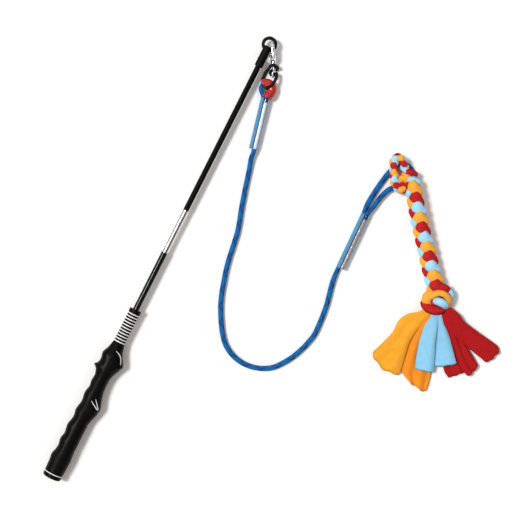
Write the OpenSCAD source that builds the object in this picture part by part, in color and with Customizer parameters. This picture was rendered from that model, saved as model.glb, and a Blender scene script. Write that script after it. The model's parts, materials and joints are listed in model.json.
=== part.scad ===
// Dog flirt pole: a telescopic pole with a moulded grip, a swivel snap, a rope and a braided fleece lure.
// The pole lies along +Y with its butt at the origin, +Z is up and the line lies on the +X side.

/* [Grip] */
// Length of the butt cap along the pole
cap_len = 6.5; // [5:0.5:10]
// Rounding of the butt cap's rim
cap_round = 2.5; // [1.5:0.5:4]
// Diameter of the vent hole in the butt cap
vent_d = 4; // [3:0.5:5]
// Length of the white ring above the butt cap
butt_ring_len = 1.2; // [1:0.1:3]
// Length of the moulded grip
grip_len = 206; // [170:1:240]
// Radius of the moulded grip at its thickest, which sets the height of the pole above the table
grip_r = 14; // [13:0.5:18]
// Width of the white strokes on the grip
mark_w = 1.2; // [1:0.1:2]
// Height of the white strokes above the grip
mark_proud = 0.3; // [0.2:0.1:0.6]

/* [Ribbed collar] */
// Length of the ribbed collar
collar_len = 53; // [45:1:65]
// Diameter of the ribbed collar
collar_d = 16.3; // [15:0.1:20]
// Number of white bands round the collar
band_count = 11; // [6:1:12]
// Width of each white band
band_w = 2; // [1:0.1:2.4]
// Depth of the groove that holds a band
band_depth = 1; // [0.6:0.1:1.5]
// Length of the plain lip at the front of the collar
lip_len = 5; // [3:0.5:8]
// Height of that lip above the collar
lip_proud = 0.6; // [0.3:0.1:1.2]

/* [Pole tubes] */
// Outside diameter of the lower shaft
shaft_d = 8.8; // [8.4:0.1:10]
// Wall of the lower shaft
shaft_wall = 0.5; // [0.4:0.05:0.7]
// Length of the lower shaft in front of the collar
shaft_bare_len = 91; // [60:1:120]
// Wall of the guide bush in the shaft's mouth
bush_wall = 0.3; // [0.25:0.05:0.4]
// Length of the guide bush
bush_len = 12; // [8:1:20]
// Length of the polished inner tube that shows
inner_show_len = 67; // [40:1:90]
// Length of the inner tube inside the lower shaft
inner_hidden_len = 230; // [180:1:250]
// Wall of the polished inner tube
inner_wall = 0.6; // [0.4:0.1:1]
// Length of the stop collar at the inner tube's lower end
stop_len = 8; // [6:1:14]
// Length of the matt sleeve on the upper pole that shows
upper_len = 229; // [180:1:280]
// Wall of the matt sleeve
upper_wall = 0.45; // [0.4:0.05:0.8]

/* [Tip] */
// Outside diameter of the tip sleeve and tip cap
tip_d = 11.8; // [11:0.1:14]
// Length of the tip sleeve
tip_sleeve_len = 15.5; // [12:0.5:22]
// Length of the tip cap
tip_cap_len = 16; // [14:0.5:20]
// Depth of the tip cap's stem in the inner tube
tip_stem_len = 14; // [8:1:20]
// Rounding of the tip cap's end
tip_round = 1.5; // [0.5:0.1:2]
// Tip cap left between the ring's channel and the end
tip_web = 4.5; // [4:0.1:7]
// Outside diameter of the split ring
ring_d = 23; // [22:0.5:26]
// Thickness of the split ring
ring_wire_d = 3.2; // [2.6:0.1:3.6]
// Width of the seam between the split ring's turns
ring_seam = 0.3; // [0.2:0.05:0.5]

/* [Snap hook] */
// Direction of the snap in plan, from the pole's +X side
snap_turn = -60; // [-64:1:-56]
// Diameter of the hook's bar
bar_d = 5.4; // [4.6:0.1:6]
// Length of the hook's straight bar
bar_len = 11; // [9:0.5:14]
// Clear height between the bar and the bolt
hook_room = 5.9; // [5:0.1:8]
// Radius of the bend where the bar meets the barrel
root_r = 5; // [4.5:0.1:5.5]
// Diameter of the barrel
barrel_d = 7.8; // [7.2:0.1:9]
// Length of the barrel
barrel_len = 15; // [14.6:0.1:18]
// Thickness of the barrel's end wall
barrel_wall = 2; // [1.6:0.1:2.4]
// Diameter of the sliding bolt
bolt_d = 4; // [3.4:0.1:4.4]
// Length of the bolt inside the barrel when it is shut
bolt_in_len = 5.5; // [5:0.1:6]
// Travel of the bolt
bolt_travel = 4.5; // [4:0.1:4.6]
// Length of the thumb tab's stem along the bolt
tab_stem_len = 2.5; // [2:0.1:3]
// Length of the thumb tab's pad
tab_pad_len = 8.5; // [6:0.1:9]
// Height of the thumb tab
tab_h = 2.4; // [1.8:0.1:3]
// Reach of the thumb tab outside the barrel
tab_reach = 4.6; // [3:0.1:6]
// Wire of the bolt's spring
spring_wire = 0.5; // [0.4:0.05:0.6]
// Turns of the bolt's spring
spring_turns = 5; // [4:1:6]

/* [Swivel eye] */
// Diameter of the swivel's stem
stem_d = 3; // [2.6:0.1:3.2]
// Thickness of the head that holds the stem in the barrel
stem_head_len = 0.9; // [0.7:0.1:1.2]
// Diameter of the swivel's ball
ball_d = 5.5; // [5:0.1:6]
// Distance from the ball's centre to the eye's centre
eye_reach = 8.1; // [7.9:0.1:10]
// Mean radius of the swivel's eye
eye_r = 4.5; // [4.4:0.1:5]
// Thickness of the swivel's eye
eye_wire_d = 3; // [2.4:0.1:3]
// Tilt of the swivel's eye from level
eye_tilt = 60; // [55:1:65]

/* [Line] */
// Diameter of the rope
rope_d = 7.6; // [7:0.1:7.8]
// Diameter of the black cord loop
cord_d = 4.6; // [4:0.1:4.7]
// Outside diameter of the red tube round the rope's eye
eye_tube_d = 8; // [7.8:0.1:8.4]
// Wall of the red tube
eye_tube_wall = 0.6; // [0.4:0.1:0.8]
// Arc of the red tube round the eye
eye_tube_arc = 230; // [200:5:250]
// Wall of the clear sleeves
sleeve_wall = 0.4; // [0.3:0.05:0.6]

/* [Fleece lure] */
// Length of the braid from the loop to the knot
braid_len = 163; // [130:1:180]
// Width of the braid at the loop
braid_w = 20; // [18:1:24]
// Width of the braid at the knot
braid_knot_w = 24; // [20:1:28]
// Thickness of the braid
braid_h = 18; // [14:1:19]
// Length of one crossing of the braid
braid_pitch = 14.2; // [10:0.1:20]
// Depth of the dips between crossings
braid_dip = 0.8; // [0.2:0.1:1.4]
// Diameter of the thin braid in the lure's loop
loop_d = 11; // [9:0.5:12]
// Size of the lure's loop from end to end
loop_len = 44; // [43:0.5:46]
// Thickness of the strip that ties the loop round the rope
tie_d = 3; // [2:0.1:3]
// Width of the knot across the braid
knot_w = 46; // [40:1:52]
// Length of the knot along the braid
knot_len = 35; // [30:1:42]
// Height of the knot
knot_h = 29; // [24:1:30]
// Length scale of the fleece tails, from the knot's centre
tail_len = 100; // [80:1:120]
// Thickness of the fleece tails
tail_t = 2.6; // [2:0.1:3]

/* [Hidden] */
// Fit values
run_clear = 0.05;
seat_gap = 0.3;
overrun = 1;
fine = 48;

// Places along the pole
butt_ring_y = cap_len;
grip_y = butt_ring_y + butt_ring_len;
collar_y = grip_y + grip_len;
shaft_y = collar_y + collar_len;
shaft_end_y = shaft_y + shaft_bare_len;
upper_y = shaft_end_y + inner_show_len;
tip_y = upper_y + upper_len;
tip_cap_y = tip_y + tip_sleeve_len;
tip_end_y = tip_cap_y + tip_cap_len;
inner_y = shaft_end_y - inner_hidden_len;

// Diameters that fit into each other
shaft_bore = shaft_d - 2 * shaft_wall;
bush_bore = shaft_bore - 2 * bush_wall;
inner_d = bush_bore - 2 * run_clear;
inner_bore = inner_d - 2 * inner_wall;
stop_d = shaft_bore - 2 * run_clear;
plug_len = cap_len + butt_ring_len;
table_z = -grip_r;

// Split ring and its channel in the tip cap
ring_r = (ring_d - ring_wire_d) / 2;
channel_d = ring_wire_d + 2 * seat_gap;
ring_y = tip_end_y - tip_web - channel_d / 2 + ring_r;

// Snap hook, measured along its own axis from the place where the ring passes through it
snap_x_share = 0.63;
snap_y_share = -0.22;
snap_x = ring_r * snap_x_share;
snap_y = ring_r * snap_y_share;
hook_h = hook_room + bar_d / 2 + bolt_d / 2;
bar_z = ring_wire_d / 2 + seat_gap + bar_d / 2;
bolt_z = bar_z - hook_h;
nose_x = 1;
hook_tip_len = 1;
barrel_lap = 1;
tab_lead = 1.5;
hook_tip_x = nose_x + hook_tip_len;
bend_x = nose_x + bar_len;
barrel_x = bend_x - barrel_lap;
barrel_end_x = barrel_x + barrel_len;
bore_end_x = barrel_end_x - barrel_wall;
bolt_x = hook_tip_x + seat_gap;
bolt_end_x = barrel_x + bolt_in_len;
bolt_bore = bolt_d + 4 * run_clear;
tab_pad_x = bolt_end_x - tab_stem_len - tab_lead;
head_x = bore_end_x - run_clear - stem_head_len;
ball_x = barrel_end_x + ball_d / 2 + seat_gap / 2;
eye_x = ball_x + eye_reach;
neck_share = 0.7;
root_low_share = 0.62;
spring_r = bolt_d / 2 - spring_wire;
spring_sides = 6;

// Rope pressed together inside the sleeves and the red tube
press_share = 0.86;
strand_r = rope_d / 2 * press_share;
strand_gap = 0.4;
strand_side = strand_r + strand_gap / 2;
sleeve_in_r = strand_r + seat_gap;

// Rope from one cut end to the other: x and y from the ring's centre, height above the table,
// and the share of the rope's full radius there
rope_route = [
    [43.1, -143, 4.1, 0.86], [36.5, -115, 5, 0.86], [29.6, -85.5, 5.9, 0.86], [25.9, -70.5, 6.4, 0.86],
    [20.4, -65.2, 8, 0.82], [17.4, -61.7, 8.8, 0.8], [16.5, -58, 9, 0.8], [17.4, -54.3, 9, 0.8],
    [20, -51.4, 9, 0.8], [23.6, -50.1, 9, 0.8], [27.4, -50.6, 9, 0.8], [30.6, -52.9, 9, 0.8],
    [32.3, -56.4, 9, 0.8], [32.4, -60, 9.3, 0.8], [32, -64, 10.2, 0.82], [30.7, -69.3, 11.3, 0.86],
    [34.3, -84.3, 10.8, 0.86], [41.2, -113.8, 9.9, 0.86], [47.7, -142, 9, 0.86], [49.5, -156, 6.6, 0.95],
    [53, -173, 4, 1], [59, -198, 3.8, 1], [66, -228, 3.8, 1], [74, -261, 3.8, 1], [84, -304, 3.8, 1],
    [91.5, -328, 3.8, 1], [100, -351, 3.8, 1], [108, -369, 3.8, 1], [117, -385, 3.8, 1], [126.5, -398, 3.8, 1],
    [138, -409, 3.8, 1], [151.5, -416, 3.8, 1], [166, -419.5, 3.8, 1], [182, -419.5, 3.8, 1],
    [198, -415, 3.8, 1], [211, -407.5, 3.8, 1], [222, -397, 3.8, 1], [231, -384, 3.8, 1], [238, -369, 3.8, 1],
    [242.5, -352, 3.8, 1], [244.5, -334, 3.8, 1], [241, -297, 3.8, 1], [233.5, -262, 3.8, 1],
    [230.5, -239, 4.1, 0.86], [229.5, -203, 4.1, 0.86], [228.3, -163, 4.1, 0.86], [228, -153, 4.1, 0.86],
    [227, -138, 3.8, 1], [229, -114, 3.8, 1], [232.5, -92, 3.8, 1], [236.5, -77, 3.8, 1], [243, -67.5, 3.8, 1],
    [252, -64.5, 3.8, 1], [261, -67.5, 3.8, 1], [266, -75, 3.8, 1], [265, -84, 4.4, 1], [258.4, -92.6, 6, 1],
    [250.4, -100.6, 7, 1], [243.8, -109, 7, 1], [239.2, -122, 6.8, 1], [236, -138, 7.6, 0.95],
    [233, -153, 9.1, 0.86], [233.2, -163, 9.1, 0.86], [234.3, -203, 9.1, 0.86], [235.5, -241, 9.1, 0.86]
];
rope_steps = 1;
rope_sides = 10;

// Black cord loop, closed: x and y from the ring's centre, height above the table
cord_route = [
    [24, -57.2, 8.4], [21.6, -56, 3.2], [16.8, -53, 2.4], [13.4, -48.4, 2.3], [12.8, -41, 2.3],
    [12.4, -34, 3.4], [12.6, -28.4, 8], [14.8, -24.9, 13.6], [18.6, -23.4, 14.9], [23.2, -23.6, 12.4],
    [26.6, -25, 7.8], [26.2, -26.6, 3.4], [22.4, -28.2, 2.3], [19, -32, 2.8], [20.9, -36.4, 5.5],
    [24.7, -34.2, 8], [28.5, -32.1, 10.4], [31.6, -36, 11.8], [31.4, -44.6, 14.6], [29.4, -51.2, 16],
    [25.6, -55.4, 13.4]
];
cord_steps = 3;
cord_sides = 8;

// Rope eye and sleeves: where they stand on the line
eye_centre = [24.5, -58, 9];
sleeve_tip_ends = [[28.4, -70.4, 8.8], [45.5, -142.4, 6.55]];
sleeve_lure_ends = [[233, -239, 6.6], [230.6, -154, 6.6]];
sleeve_roll = 45;

// Lure: its place and turn on the line
lure_x = 270;
lure_y = -84;
lure_turn = -51.1;
braid_start_z = 18.4;
braid_end_z = 14.6;
braid_steps = 4;
braid_sides = 14;
tail_turn = -63.27;

// Height of the thin braid of the loop above the table, and the loop's course in shares of its
// length: across and along the line frame's x and y, measured from the braid's start
loop_z = 17.8;
loop_route_shares = [
    [0.05, -0.06], [-0.13, 0.02], [-0.29, 0.13], [-0.42, 0.27], [-0.54, 0.41], [-0.67, 0.51], [-0.81, 0.49],
    [-0.85, 0.34], [-0.76, 0.14], [-0.64, -0.07], [-0.49, -0.27], [-0.3, -0.38], [-0.13, -0.31]
];
loop_sides = 10;
loop_steps = 2;
tie_sides = 6;
// The tie's course in the same shares, with its height above the table as a share of the loop's height
tie_route_shares = [
    [-0.28, -0.42, 0.7], [-0.29, -0.46, 0.3], [-0.34, -0.43, 0.1], [-0.43, -0.33, 0.095],
    [-0.54, -0.22, 0.1], [-0.6, -0.18, 0.3], [-0.59, -0.18, 0.7]
];

// Grip outline: share of its length, then shares of its radius to the left, to the right and in height
grip_shares = [
    [0, 0.96, 0.96, 0.96], [0.03, 0.99, 0.99, 0.985], [0.08, 1.01, 1.01, 1], [0.117, 1.06, 1.03, 1],
    [0.157, 0.96, 0.97, 0.96], [0.194, 0.92, 0.93, 0.93], [0.237, 0.97, 0.95, 0.95], [0.279, 0.89, 0.92, 0.92],
    [0.339, 0.93, 0.93, 0.93], [0.395, 0.86, 0.92, 0.9], [0.434, 0.87, 1.04, 0.92], [0.465, 0.9, 1.19, 0.94],
    [0.488, 0.88, 1.29, 0.95], [0.517, 0.84, 1.32, 0.95], [0.546, 0.82, 1.26, 0.94], [0.58, 0.84, 1.1, 0.91],
    [0.614, 0.81, 0.96, 0.87], [0.648, 0.76, 0.86, 0.85], [0.692, 0.8, 0.82, 0.86], [0.731, 0.76, 0.82, 0.88],
    [0.755, 0.84, 0.88, 0.91], [0.776, 0.98, 0.95, 0.94], [0.789, 1.14, 1.03, 0.95], [0.799, 1.38, 1.1, 0.96],
    [0.809, 1.2, 1.17, 0.97], [0.822, 1.03, 1.27, 0.975], [0.84, 0.96, 1.38, 0.985], [0.857, 0.95, 1.45, 0.985],
    [0.873, 0.95, 1.36, 0.98], [0.9, 0.93, 1.15, 0.95], [0.922, 0.88, 0.96, 0.88], [0.945, 0.8, 0.81, 0.79],
    [0.974, 0.71, 0.71, 0.7], [1, 0.62, 0.62, 0.62]
];
grip_sides = 28;
// White strokes on the grip: start and end, each a share of its radius across and of its length along
mark_shares = [
    [[0.56, 0.982], [1.2, 0.885]], [[-0.16, 0.616], [0.8, 0.548]], [[0.2, 0.622], [0.82, 0.556]]
];

// Fleece tails: left and right edges as places at the root, the middle and the tip, each a share of the
// tail's length to the right and down from the knot's centre, then the layer and the height of the arch
tail_shares = [
    [[[-0.19, 0.06], [-0.62, 0.42], [-0.94, 0.83]], [[-0.13, 0.12], [-0.3, 0.56], [-0.53, 1.12]], 1, 0.05],
    [[[-0.125, 0.125], [-0.28, 0.57], [-0.46, 1.08]], [[-0.075, 0.155], [-0.08, 0.62], [-0.13, 1.28]], 0, 0.02],
    [[[-0.07, 0.155], [-0.18, 0.5], [-0.31, 0.98]], [[-0.01, 0.17], [-0.01, 0.55], [-0.06, 1.02]], 2, 0.07],
    [[[-0.005, 0.17], [0.01, 0.53], [-0.02, 0.96]], [[0.05, 0.165], [0.17, 0.5], [0.26, 0.89]], 2, 0.07],
    [[[0.055, 0.165], [0.1, 0.6], [0.12, 1.07]], [[0.1, 0.145], [0.21, 0.56], [0.37, 1.02]], 0, 0.02],
    [[[0.105, 0.14], [0.23, 0.575], [0.43, 1.07]], [[0.145, 0.115], [0.32, 0.5], [0.57, 0.94]], 1, 0.05],
    [[[0.15, 0.11], [0.42, 0.54], [0.7, 0.88]], [[0.19, 0.05], [0.52, 0.36], [0.88, 0.71]], 0, 0.06]
];
tail_root_share = 0.11;
tail_steps = 9;
tail_cells = 8;
knot_rings = 11;
knot_sides = 20;
knot_lobe_share = 0.07;

// Smooth courses

function unit(v) = v / norm(v);
function place(v) = [v[0], v[1], v[2]];
function point_at(points, i, closed) =
    closed ? points[(i + len(points)) % len(points)] : points[max(0, min(len(points) - 1, i))];
function blend_at(a, b, c, d, t) =
    (2 * b + (c - a) * t + (2 * a - 5 * b + 4 * c - d) * t * t + (3 * b - a - 3 * c + d) * t * t * t) / 2;
function course(points, steps, closed = false) = concat(
    [for (i = [0 : len(points) - (closed ? 1 : 2)]) for (s = [0 : steps - 1])
        blend_at(point_at(points, i - 1, closed), point_at(points, i, closed),
            point_at(points, i + 1, closed), point_at(points, i + 2, closed), s / steps)],
    closed ? [] : [points[len(points) - 1]]);
function heading(points, i, closed) =
    unit(place(point_at(points, i + 1, closed)) - place(point_at(points, i - 1, closed)));
function square_to(v, t) = unit(v - (v * t) * t);

// Side vectors carried along a course without twist
function sides_along(points, closed) = [
    for (i = 0, v = square_to(abs(heading(points, 0, closed)[2]) > 0.9 ? [1, 0, 0] : [0, 0, 1],
            heading(points, 0, closed));
        i <= len(points) - (closed ? 0 : 1);
        i = i + 1, v = square_to(v, heading(points, i, closed))) v];
function turn_left(a, b, t) = atan2(cross(a, b) * t, a * b);

// Rings of a tube of radius r round a course; a fourth value in a point is its share of the radius
function tube_rings(points, r, count, closed = false) =
    let (side = sides_along(points, closed),
        last = len(points),
        twist = closed ? turn_left(side[last], side[0], heading(points, 0, true)) : 0)
    [for (i = [0 : last - 1])
        let (t = heading(points, i, closed),
            n = side[i],
            b = cross(t, n),
            s = len(points[i]) > 3 ? points[i][3] : 1)
        [for (j = [0 : count - 1])
            let (a = 360 * j / count + twist * i / last)
            place(points[i]) + r * s * (cos(a) * n + sin(a) * b)]];

// Closed skin over rings that all have the same, even number of points
module skin(rings, closed = false) {
    m = len(rings[0]);
    k = len(rings);
    sides = [for (i = [0 : k - (closed ? 1 : 2)]) for (j = [0 : m - 1])
        let (a = i * m + j, b = i * m + (j + 1) % m,
            c = ((i + 1) % k) * m + (j + 1) % m, d = ((i + 1) % k) * m + j)
        each [[a, d, c], [a, c, b]]];
    caps = closed ? [] : [for (i = [0 : m / 2 - 2])
        let (p = m - 2 - i, q = m - 1 - i, e = (k - 1) * m)
        each [[i, i + 1, p], [i, p, q], [e + p, e + i + 1, e + i], [e + q, e + p, e + i]]];
    polyhedron(points = [for (ring = rings) each ring],
        faces = [for (f = concat(sides, caps)) if (f[0] != f[1] && f[1] != f[2] && f[2] != f[0]) f]);
}

module tube(points, d, count, closed = false) {
    skin(tube_rings(points, d / 2, count, closed), closed);
}

// Frames that pieces are built in

// Along the pole: local Z becomes +Y from the given place
module on_pole(y) {
    translate([0, y, 0]) rotate([-90, 0, 0]) children();
}

// Along the snap: local X is the snap's axis, local Z is up
module on_snap() {
    translate([snap_x, ring_y + snap_y, bolt_z]) rotate([0, 0, snap_turn]) children();
}

// On the line: x and y from the ring's centre, z from the table
module on_line() {
    translate([0, ring_y, table_z]) children();
}

// From one place to another: local Z runs along it
module between(p, q) {
    d = q - p;
    translate(p) rotate([0, acos(d[2] / norm(d)), atan2(d[1], d[0])]) children();
}

// A round bar along local X
module bar_x(x0, x1, d) {
    translate([x0, 0, 0]) rotate([0, 90, 0]) cylinder(d = d, h = x1 - x0, $fn = fine);
}

module pipe(d, bore, h) {
    difference() {
        cylinder(d = d, h = h, $fn = fine);
        translate([0, 0, -overrun]) cylinder(d = bore, h = h + 2 * overrun, $fn = fine);
    }
}

// Handle

module butt_cap() {
    cap_r = grip_r * grip_shares[0][1];
    color("#15161a") difference() {
        on_pole(0) rotate_extrude($fn = fine) union() {
            square([cap_r - cap_round, cap_len]);
            translate([0, cap_round]) square([cap_r, cap_len - cap_round]);
            intersection() {
                translate([cap_r - cap_round, cap_round]) circle(r = cap_round, $fn = fine);
                square([cap_r, cap_len]);
            }
        }
        on_pole(-overrun) cylinder(d = vent_d, h = cap_len + 2 * overrun, $fn = fine);
    }
}

module butt_ring() {
    color("#f2f2f2") on_pole(butt_ring_y)
        pipe(2 * grip_r * grip_shares[0][1], shaft_d, butt_ring_len);
}

// Outline of the grip at one station, grown outwards by the given amount
function grip_ring(row, grow) = [for (j = [0 : grip_sides - 1])
    let (a = 360 * j / grip_sides, w = cos(a) < 0 ? row[1] : row[2])
    [(grip_r * w + grow) * cos(a), grip_y + grip_len * row[0], -(grip_r * row[3] + grow) * sin(a)]];

module grip_form(grow = 0) {
    skin([for (row = grip_shares) grip_ring(row, grow)]);
}

module grip() {
    color("#1b1c20") difference() {
        grip_form();
        on_pole(grip_y - overrun) cylinder(d = shaft_d, h = grip_len + 2 * overrun, $fn = fine);
    }
}

module grip_marks() {
    color("#f2f2f2") intersection() {
        difference() {
            grip_form(mark_proud);
            grip_form();
        }
        union() {
            for (m = mark_shares) {
                p = [m[0][0] * grip_r, grip_y + m[0][1] * grip_len, 0];
                q = [m[1][0] * grip_r, grip_y + m[1][1] * grip_len, 0];
                translate(p) rotate([0, 0, atan2(q[1] - p[1], q[0] - p[0])])
                    translate([0, -mark_w / 2, 0]) cube([norm(q - p), mark_w, 2 * grip_r]);
            }
        }
    }
}

band_pitch = (collar_len - lip_len) / band_count;
function band_y(i) = collar_y + band_pitch * (i + 0.5) - band_w / 2;

module ribbed_collar() {
    color("#17181c") difference() {
        union() {
            on_pole(collar_y) cylinder(d = collar_d, h = collar_len, $fn = fine);
            on_pole(shaft_y - lip_len) cylinder(d = collar_d + 2 * lip_proud, h = lip_len, $fn = fine);
        }
        for (i = [0 : band_count - 1])
            on_pole(band_y(i)) pipe(collar_d + overrun, collar_d - 2 * band_depth, band_w);
        on_pole(collar_y - overrun) cylinder(d = shaft_d, h = collar_len + 2 * overrun, $fn = fine);
    }
}

module collar_bands() {
    color("#f4f4f4") for (i = [0 : band_count - 1])
        on_pole(band_y(i)) pipe(collar_d, collar_d - 2 * band_depth, band_w);
}

module lower_shaft() {
    color("#0b0b0d") on_pole(plug_len) pipe(shaft_d, shaft_bore, shaft_end_y - plug_len);
}

module guide_bush() {
    color("#3a3a3c") on_pole(shaft_end_y - bush_len) pipe(shaft_bore, bush_bore, bush_len);
}

// Upper pole

module inner_tube() {
    color("#c9ccd0") on_pole(inner_y) pipe(inner_d, inner_bore, tip_cap_y - inner_y);
}

module tube_stop() {
    color("#3a3a3c") on_pole(inner_y - stop_len) difference() {
        union() {
            cylinder(d = stop_d, h = stop_len, $fn = fine);
            cylinder(d = inner_bore, h = 2 * stop_len, $fn = fine);
        }
        translate([0, 0, -overrun])
            cylinder(d = inner_bore / 2, h = 2 * (stop_len + overrun), $fn = fine);
    }
}

module upper_sleeve() {
    color("#111114") on_pole(upper_y) pipe(inner_d + 2 * upper_wall, inner_d, upper_len);
}

module tip_sleeve() {
    color("#18181b") on_pole(tip_y) pipe(tip_d, inner_d, tip_sleeve_len);
}

module tip_cap() {
    color("#131316") difference() {
        union() {
            on_pole(tip_cap_y) cylinder(d = tip_d, h = tip_cap_len - tip_round, $fn = fine);
            on_pole(tip_end_y - tip_round)
                cylinder(d1 = tip_d, d2 = tip_d - 2 * tip_round, h = tip_round, $fn = fine);
            on_pole(tip_cap_y - tip_stem_len) cylinder(d = inner_bore, h = tip_stem_len, $fn = fine);
        }
        translate([0, ring_y, 0]) rotate_extrude($fn = 2 * fine)
            translate([ring_r, 0]) circle(d = channel_d, $fn = fine);
    }
}

module split_ring() {
    seam_depth = ring_wire_d / 4;
    color("#0e0e10") translate([0, ring_y, 0]) rotate_extrude($fn = 2 * fine)
        translate([ring_r, 0]) difference() {
            circle(d = ring_wire_d, $fn = fine);
            translate([ring_wire_d / 2 - seam_depth, -ring_seam / 2]) square([seam_depth + overrun, ring_seam]);
        }
}

// Snap hook

module hook() {
    translate([0, 0, hook_h]) bar_x(nose_x, bend_x, bar_d);
    translate([nose_x, 0, hook_h / 2]) rotate([90, 0, 0]) rotate([0, 0, 90])
        rotate_extrude(angle = 180, $fn = 2 * fine) translate([hook_h / 2, 0]) circle(d = bar_d, $fn = fine);
    bar_x(nose_x, hook_tip_x, bar_d);
    translate([bend_x, 0, hook_h - root_r]) rotate([90, 0, 0])
        rotate_extrude(angle = 90, $fn = 2 * fine) translate([root_r, 0]) circle(d = bar_d, $fn = fine);
    root_low = barrel_d / 2 * root_low_share;
    translate([bend_x + root_r, 0, root_low])
        cylinder(d = bar_d, h = hook_h - root_r - root_low, $fn = fine);
}

module snap_body() {
    slot_x = bolt_end_x - tab_stem_len - seat_gap;
    slot_len = tab_stem_len + bolt_travel + 2 * seat_gap;
    color("#cfd2d6") on_snap() difference() {
        union() {
            hook();
            bar_x(barrel_x, barrel_end_x, barrel_d);
        }
        bar_x(barrel_x - overrun, bore_end_x, bolt_bore);
        bar_x(barrel_x, barrel_end_x + overrun, stem_d + 2 * run_clear);
        translate([slot_x, -barrel_d, -tab_h / 2 - seat_gap])
            cube([slot_len, barrel_d, tab_h + 2 * seat_gap]);
    }
}

module snap_bolt() {
    pad_y = -barrel_d / 2 - seat_gap - tab_reach;
    color("#d6d8db") on_snap() {
        bar_x(bolt_x, bolt_end_x, bolt_d);
        translate([bolt_end_x - tab_stem_len, pad_y + tab_reach / 2, -tab_h / 2])
            cube([tab_stem_len, -pad_y - tab_reach / 2, tab_h]);
        hull() {
            translate([tab_pad_x, pad_y + tab_reach / 2, -tab_h / 2])
                cube([tab_pad_len, tab_reach / 2, tab_h]);
            translate([tab_pad_x + tab_pad_len / 4, pad_y, -tab_h / 2])
                cube([tab_pad_len / 2, tab_reach, tab_h]);
        }
    }
}

module bolt_spring() {
    x0 = bolt_end_x + spring_wire / 2 + run_clear;
    x1 = head_x - spring_wire / 2 - run_clear;
    steps = 8 * spring_turns;
    coil = [for (i = [0 : steps])
        let (a = 360 * i * spring_turns / steps)
        [x0 + (x1 - x0) * i / steps, spring_r * cos(a), spring_r * sin(a)]];
    color("#9a9ca0") on_snap() tube(coil, spring_wire, spring_sides);
}

module swivel_eye() {
    color("#c6c9cd") on_snap() {
        bar_x(head_x, bore_end_x - run_clear, bolt_bore - 4 * run_clear);
        bar_x(head_x, ball_x, stem_d);
        bar_x(ball_x, eye_x - eye_r, stem_d * neck_share);
        translate([ball_x, 0, 0]) rotate([0, 90, 0]) sphere(d = ball_d, $fn = fine);
        translate([eye_x, 0, 0]) rotate([-eye_tilt, 0, 0]) rotate_extrude($fn = 2 * fine)
            translate([eye_r, 0]) rotate(90) circle(d = eye_wire_d, $fn = fine);
    }
}

// Line

module cord_loop() {
    color("#101012") on_line() tube(course(cord_route, cord_steps, true), cord_d, cord_sides, true);
}

module rope() {
    color("#1769b4") on_line() tube(course(rope_route, rope_steps), rope_d, rope_sides);
}

module rope_eye_tube() {
    away = atan2(sleeve_tip_ends[1][1] - sleeve_tip_ends[0][1], sleeve_tip_ends[1][0] - sleeve_tip_ends[0][0]);
    color("#cf2a22") on_line() translate(eye_centre) rotate([0, 0, away + 180 - eye_tube_arc / 2])
        rotate_extrude(angle = eye_tube_arc, $fn = 2 * fine) translate([eye_tube_d, 0]) difference() {
            circle(d = eye_tube_d, $fn = fine);
            circle(d = eye_tube_d - 2 * eye_tube_wall, $fn = fine);
        }
}

// Section of a sleeve that holds two strands side by side
module two_strands(r) {
    for (s = [-1, 1]) translate([s * strand_side, 0]) circle(r = r, $fn = fine);
    square([2 * strand_side, 2 * r], center = true);
}

module rope_sleeve(ends, roll) {
    color("#b9d3e6", 0.5) on_line() between(ends[0], ends[1]) rotate([0, 0, roll])
        linear_extrude(norm(ends[1] - ends[0])) difference() {
            two_strands(sleeve_in_r + sleeve_wall);
            two_strands(sleeve_in_r);
        }
}

module tip_rope_sleeve() { rope_sleeve(sleeve_tip_ends, -sleeve_roll); }

module lure_rope_sleeve() { rope_sleeve(sleeve_lure_ends, sleeve_roll); }

// Fleece lure

module lure_loop() {
    points = [for (s = loop_route_shares) [lure_x + loop_len * s[0], lure_y + loop_len * s[1], loop_z]];
    color("#e2952b") on_line() tube(course(points, loop_steps), loop_d, loop_sides);
}

module lure_loop_tie() {
    points = [for (s = tie_route_shares)
        [lure_x + loop_len * s[0], lure_y + loop_len * s[1], loop_z * s[2]]];
    color("#f0a030") on_line() tube(course(points, loop_steps), tie_d, tie_sides);
}

module braid_form() {
    count = round(braid_len / braid_pitch) * braid_steps;
    rings = [for (i = [0 : count])
        let (t = i / count,
            dip = braid_dip * (1 - abs(sin(180 * t * braid_len / braid_pitch))),
            w = (braid_w + (braid_knot_w - braid_w) * t) / 2 - dip,
            h = braid_h / 2 - dip)
        [for (j = [0 : braid_sides - 1])
            let (a = 360 * j / braid_sides)
            [braid_len * t, w * cos(a), braid_start_z + (braid_end_z - braid_start_z) * t + h * sin(a)]]];
    on_line() translate([lure_x, lure_y, 0]) rotate([0, 0, lure_turn]) skin(rings);
}

// The braid, cut where the loop and the knot close round it
module lure_braid() {
    color("#c8202c") difference() {
        braid_form();
        lure_loop();
        lure_knot();
    }
}

knot_place = [lure_x + (braid_len + knot_len / 4) * cos(lure_turn),
    lure_y + (braid_len + knot_len / 4) * sin(lure_turn)];

// Places in the tails' frame: right and down from the knot's centre
module on_knot() {
    on_line() translate([knot_place[0], knot_place[1], 0]) rotate([0, 0, tail_turn]) children();
}

module lure_knot() {
    rings = [for (i = [0 : knot_rings - 1])
        let (u = -cos(180 * (i + 0.5) / knot_rings), r = sin(180 * (i + 0.5) / knot_rings))
        [for (j = [0 : knot_sides - 1])
            let (a = 360 * j / knot_sides,
                lobe = 1 - knot_lobe_share * (1 + cos(3 * a + 150 * u)) / 2)
            [knot_len / 2 * u, knot_w / 2 * r * cos(a) * lobe, knot_h / 2 * (1 + r * sin(a) * lobe)]]];
    color("#e58a28") on_knot() skin(rings);
}

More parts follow.
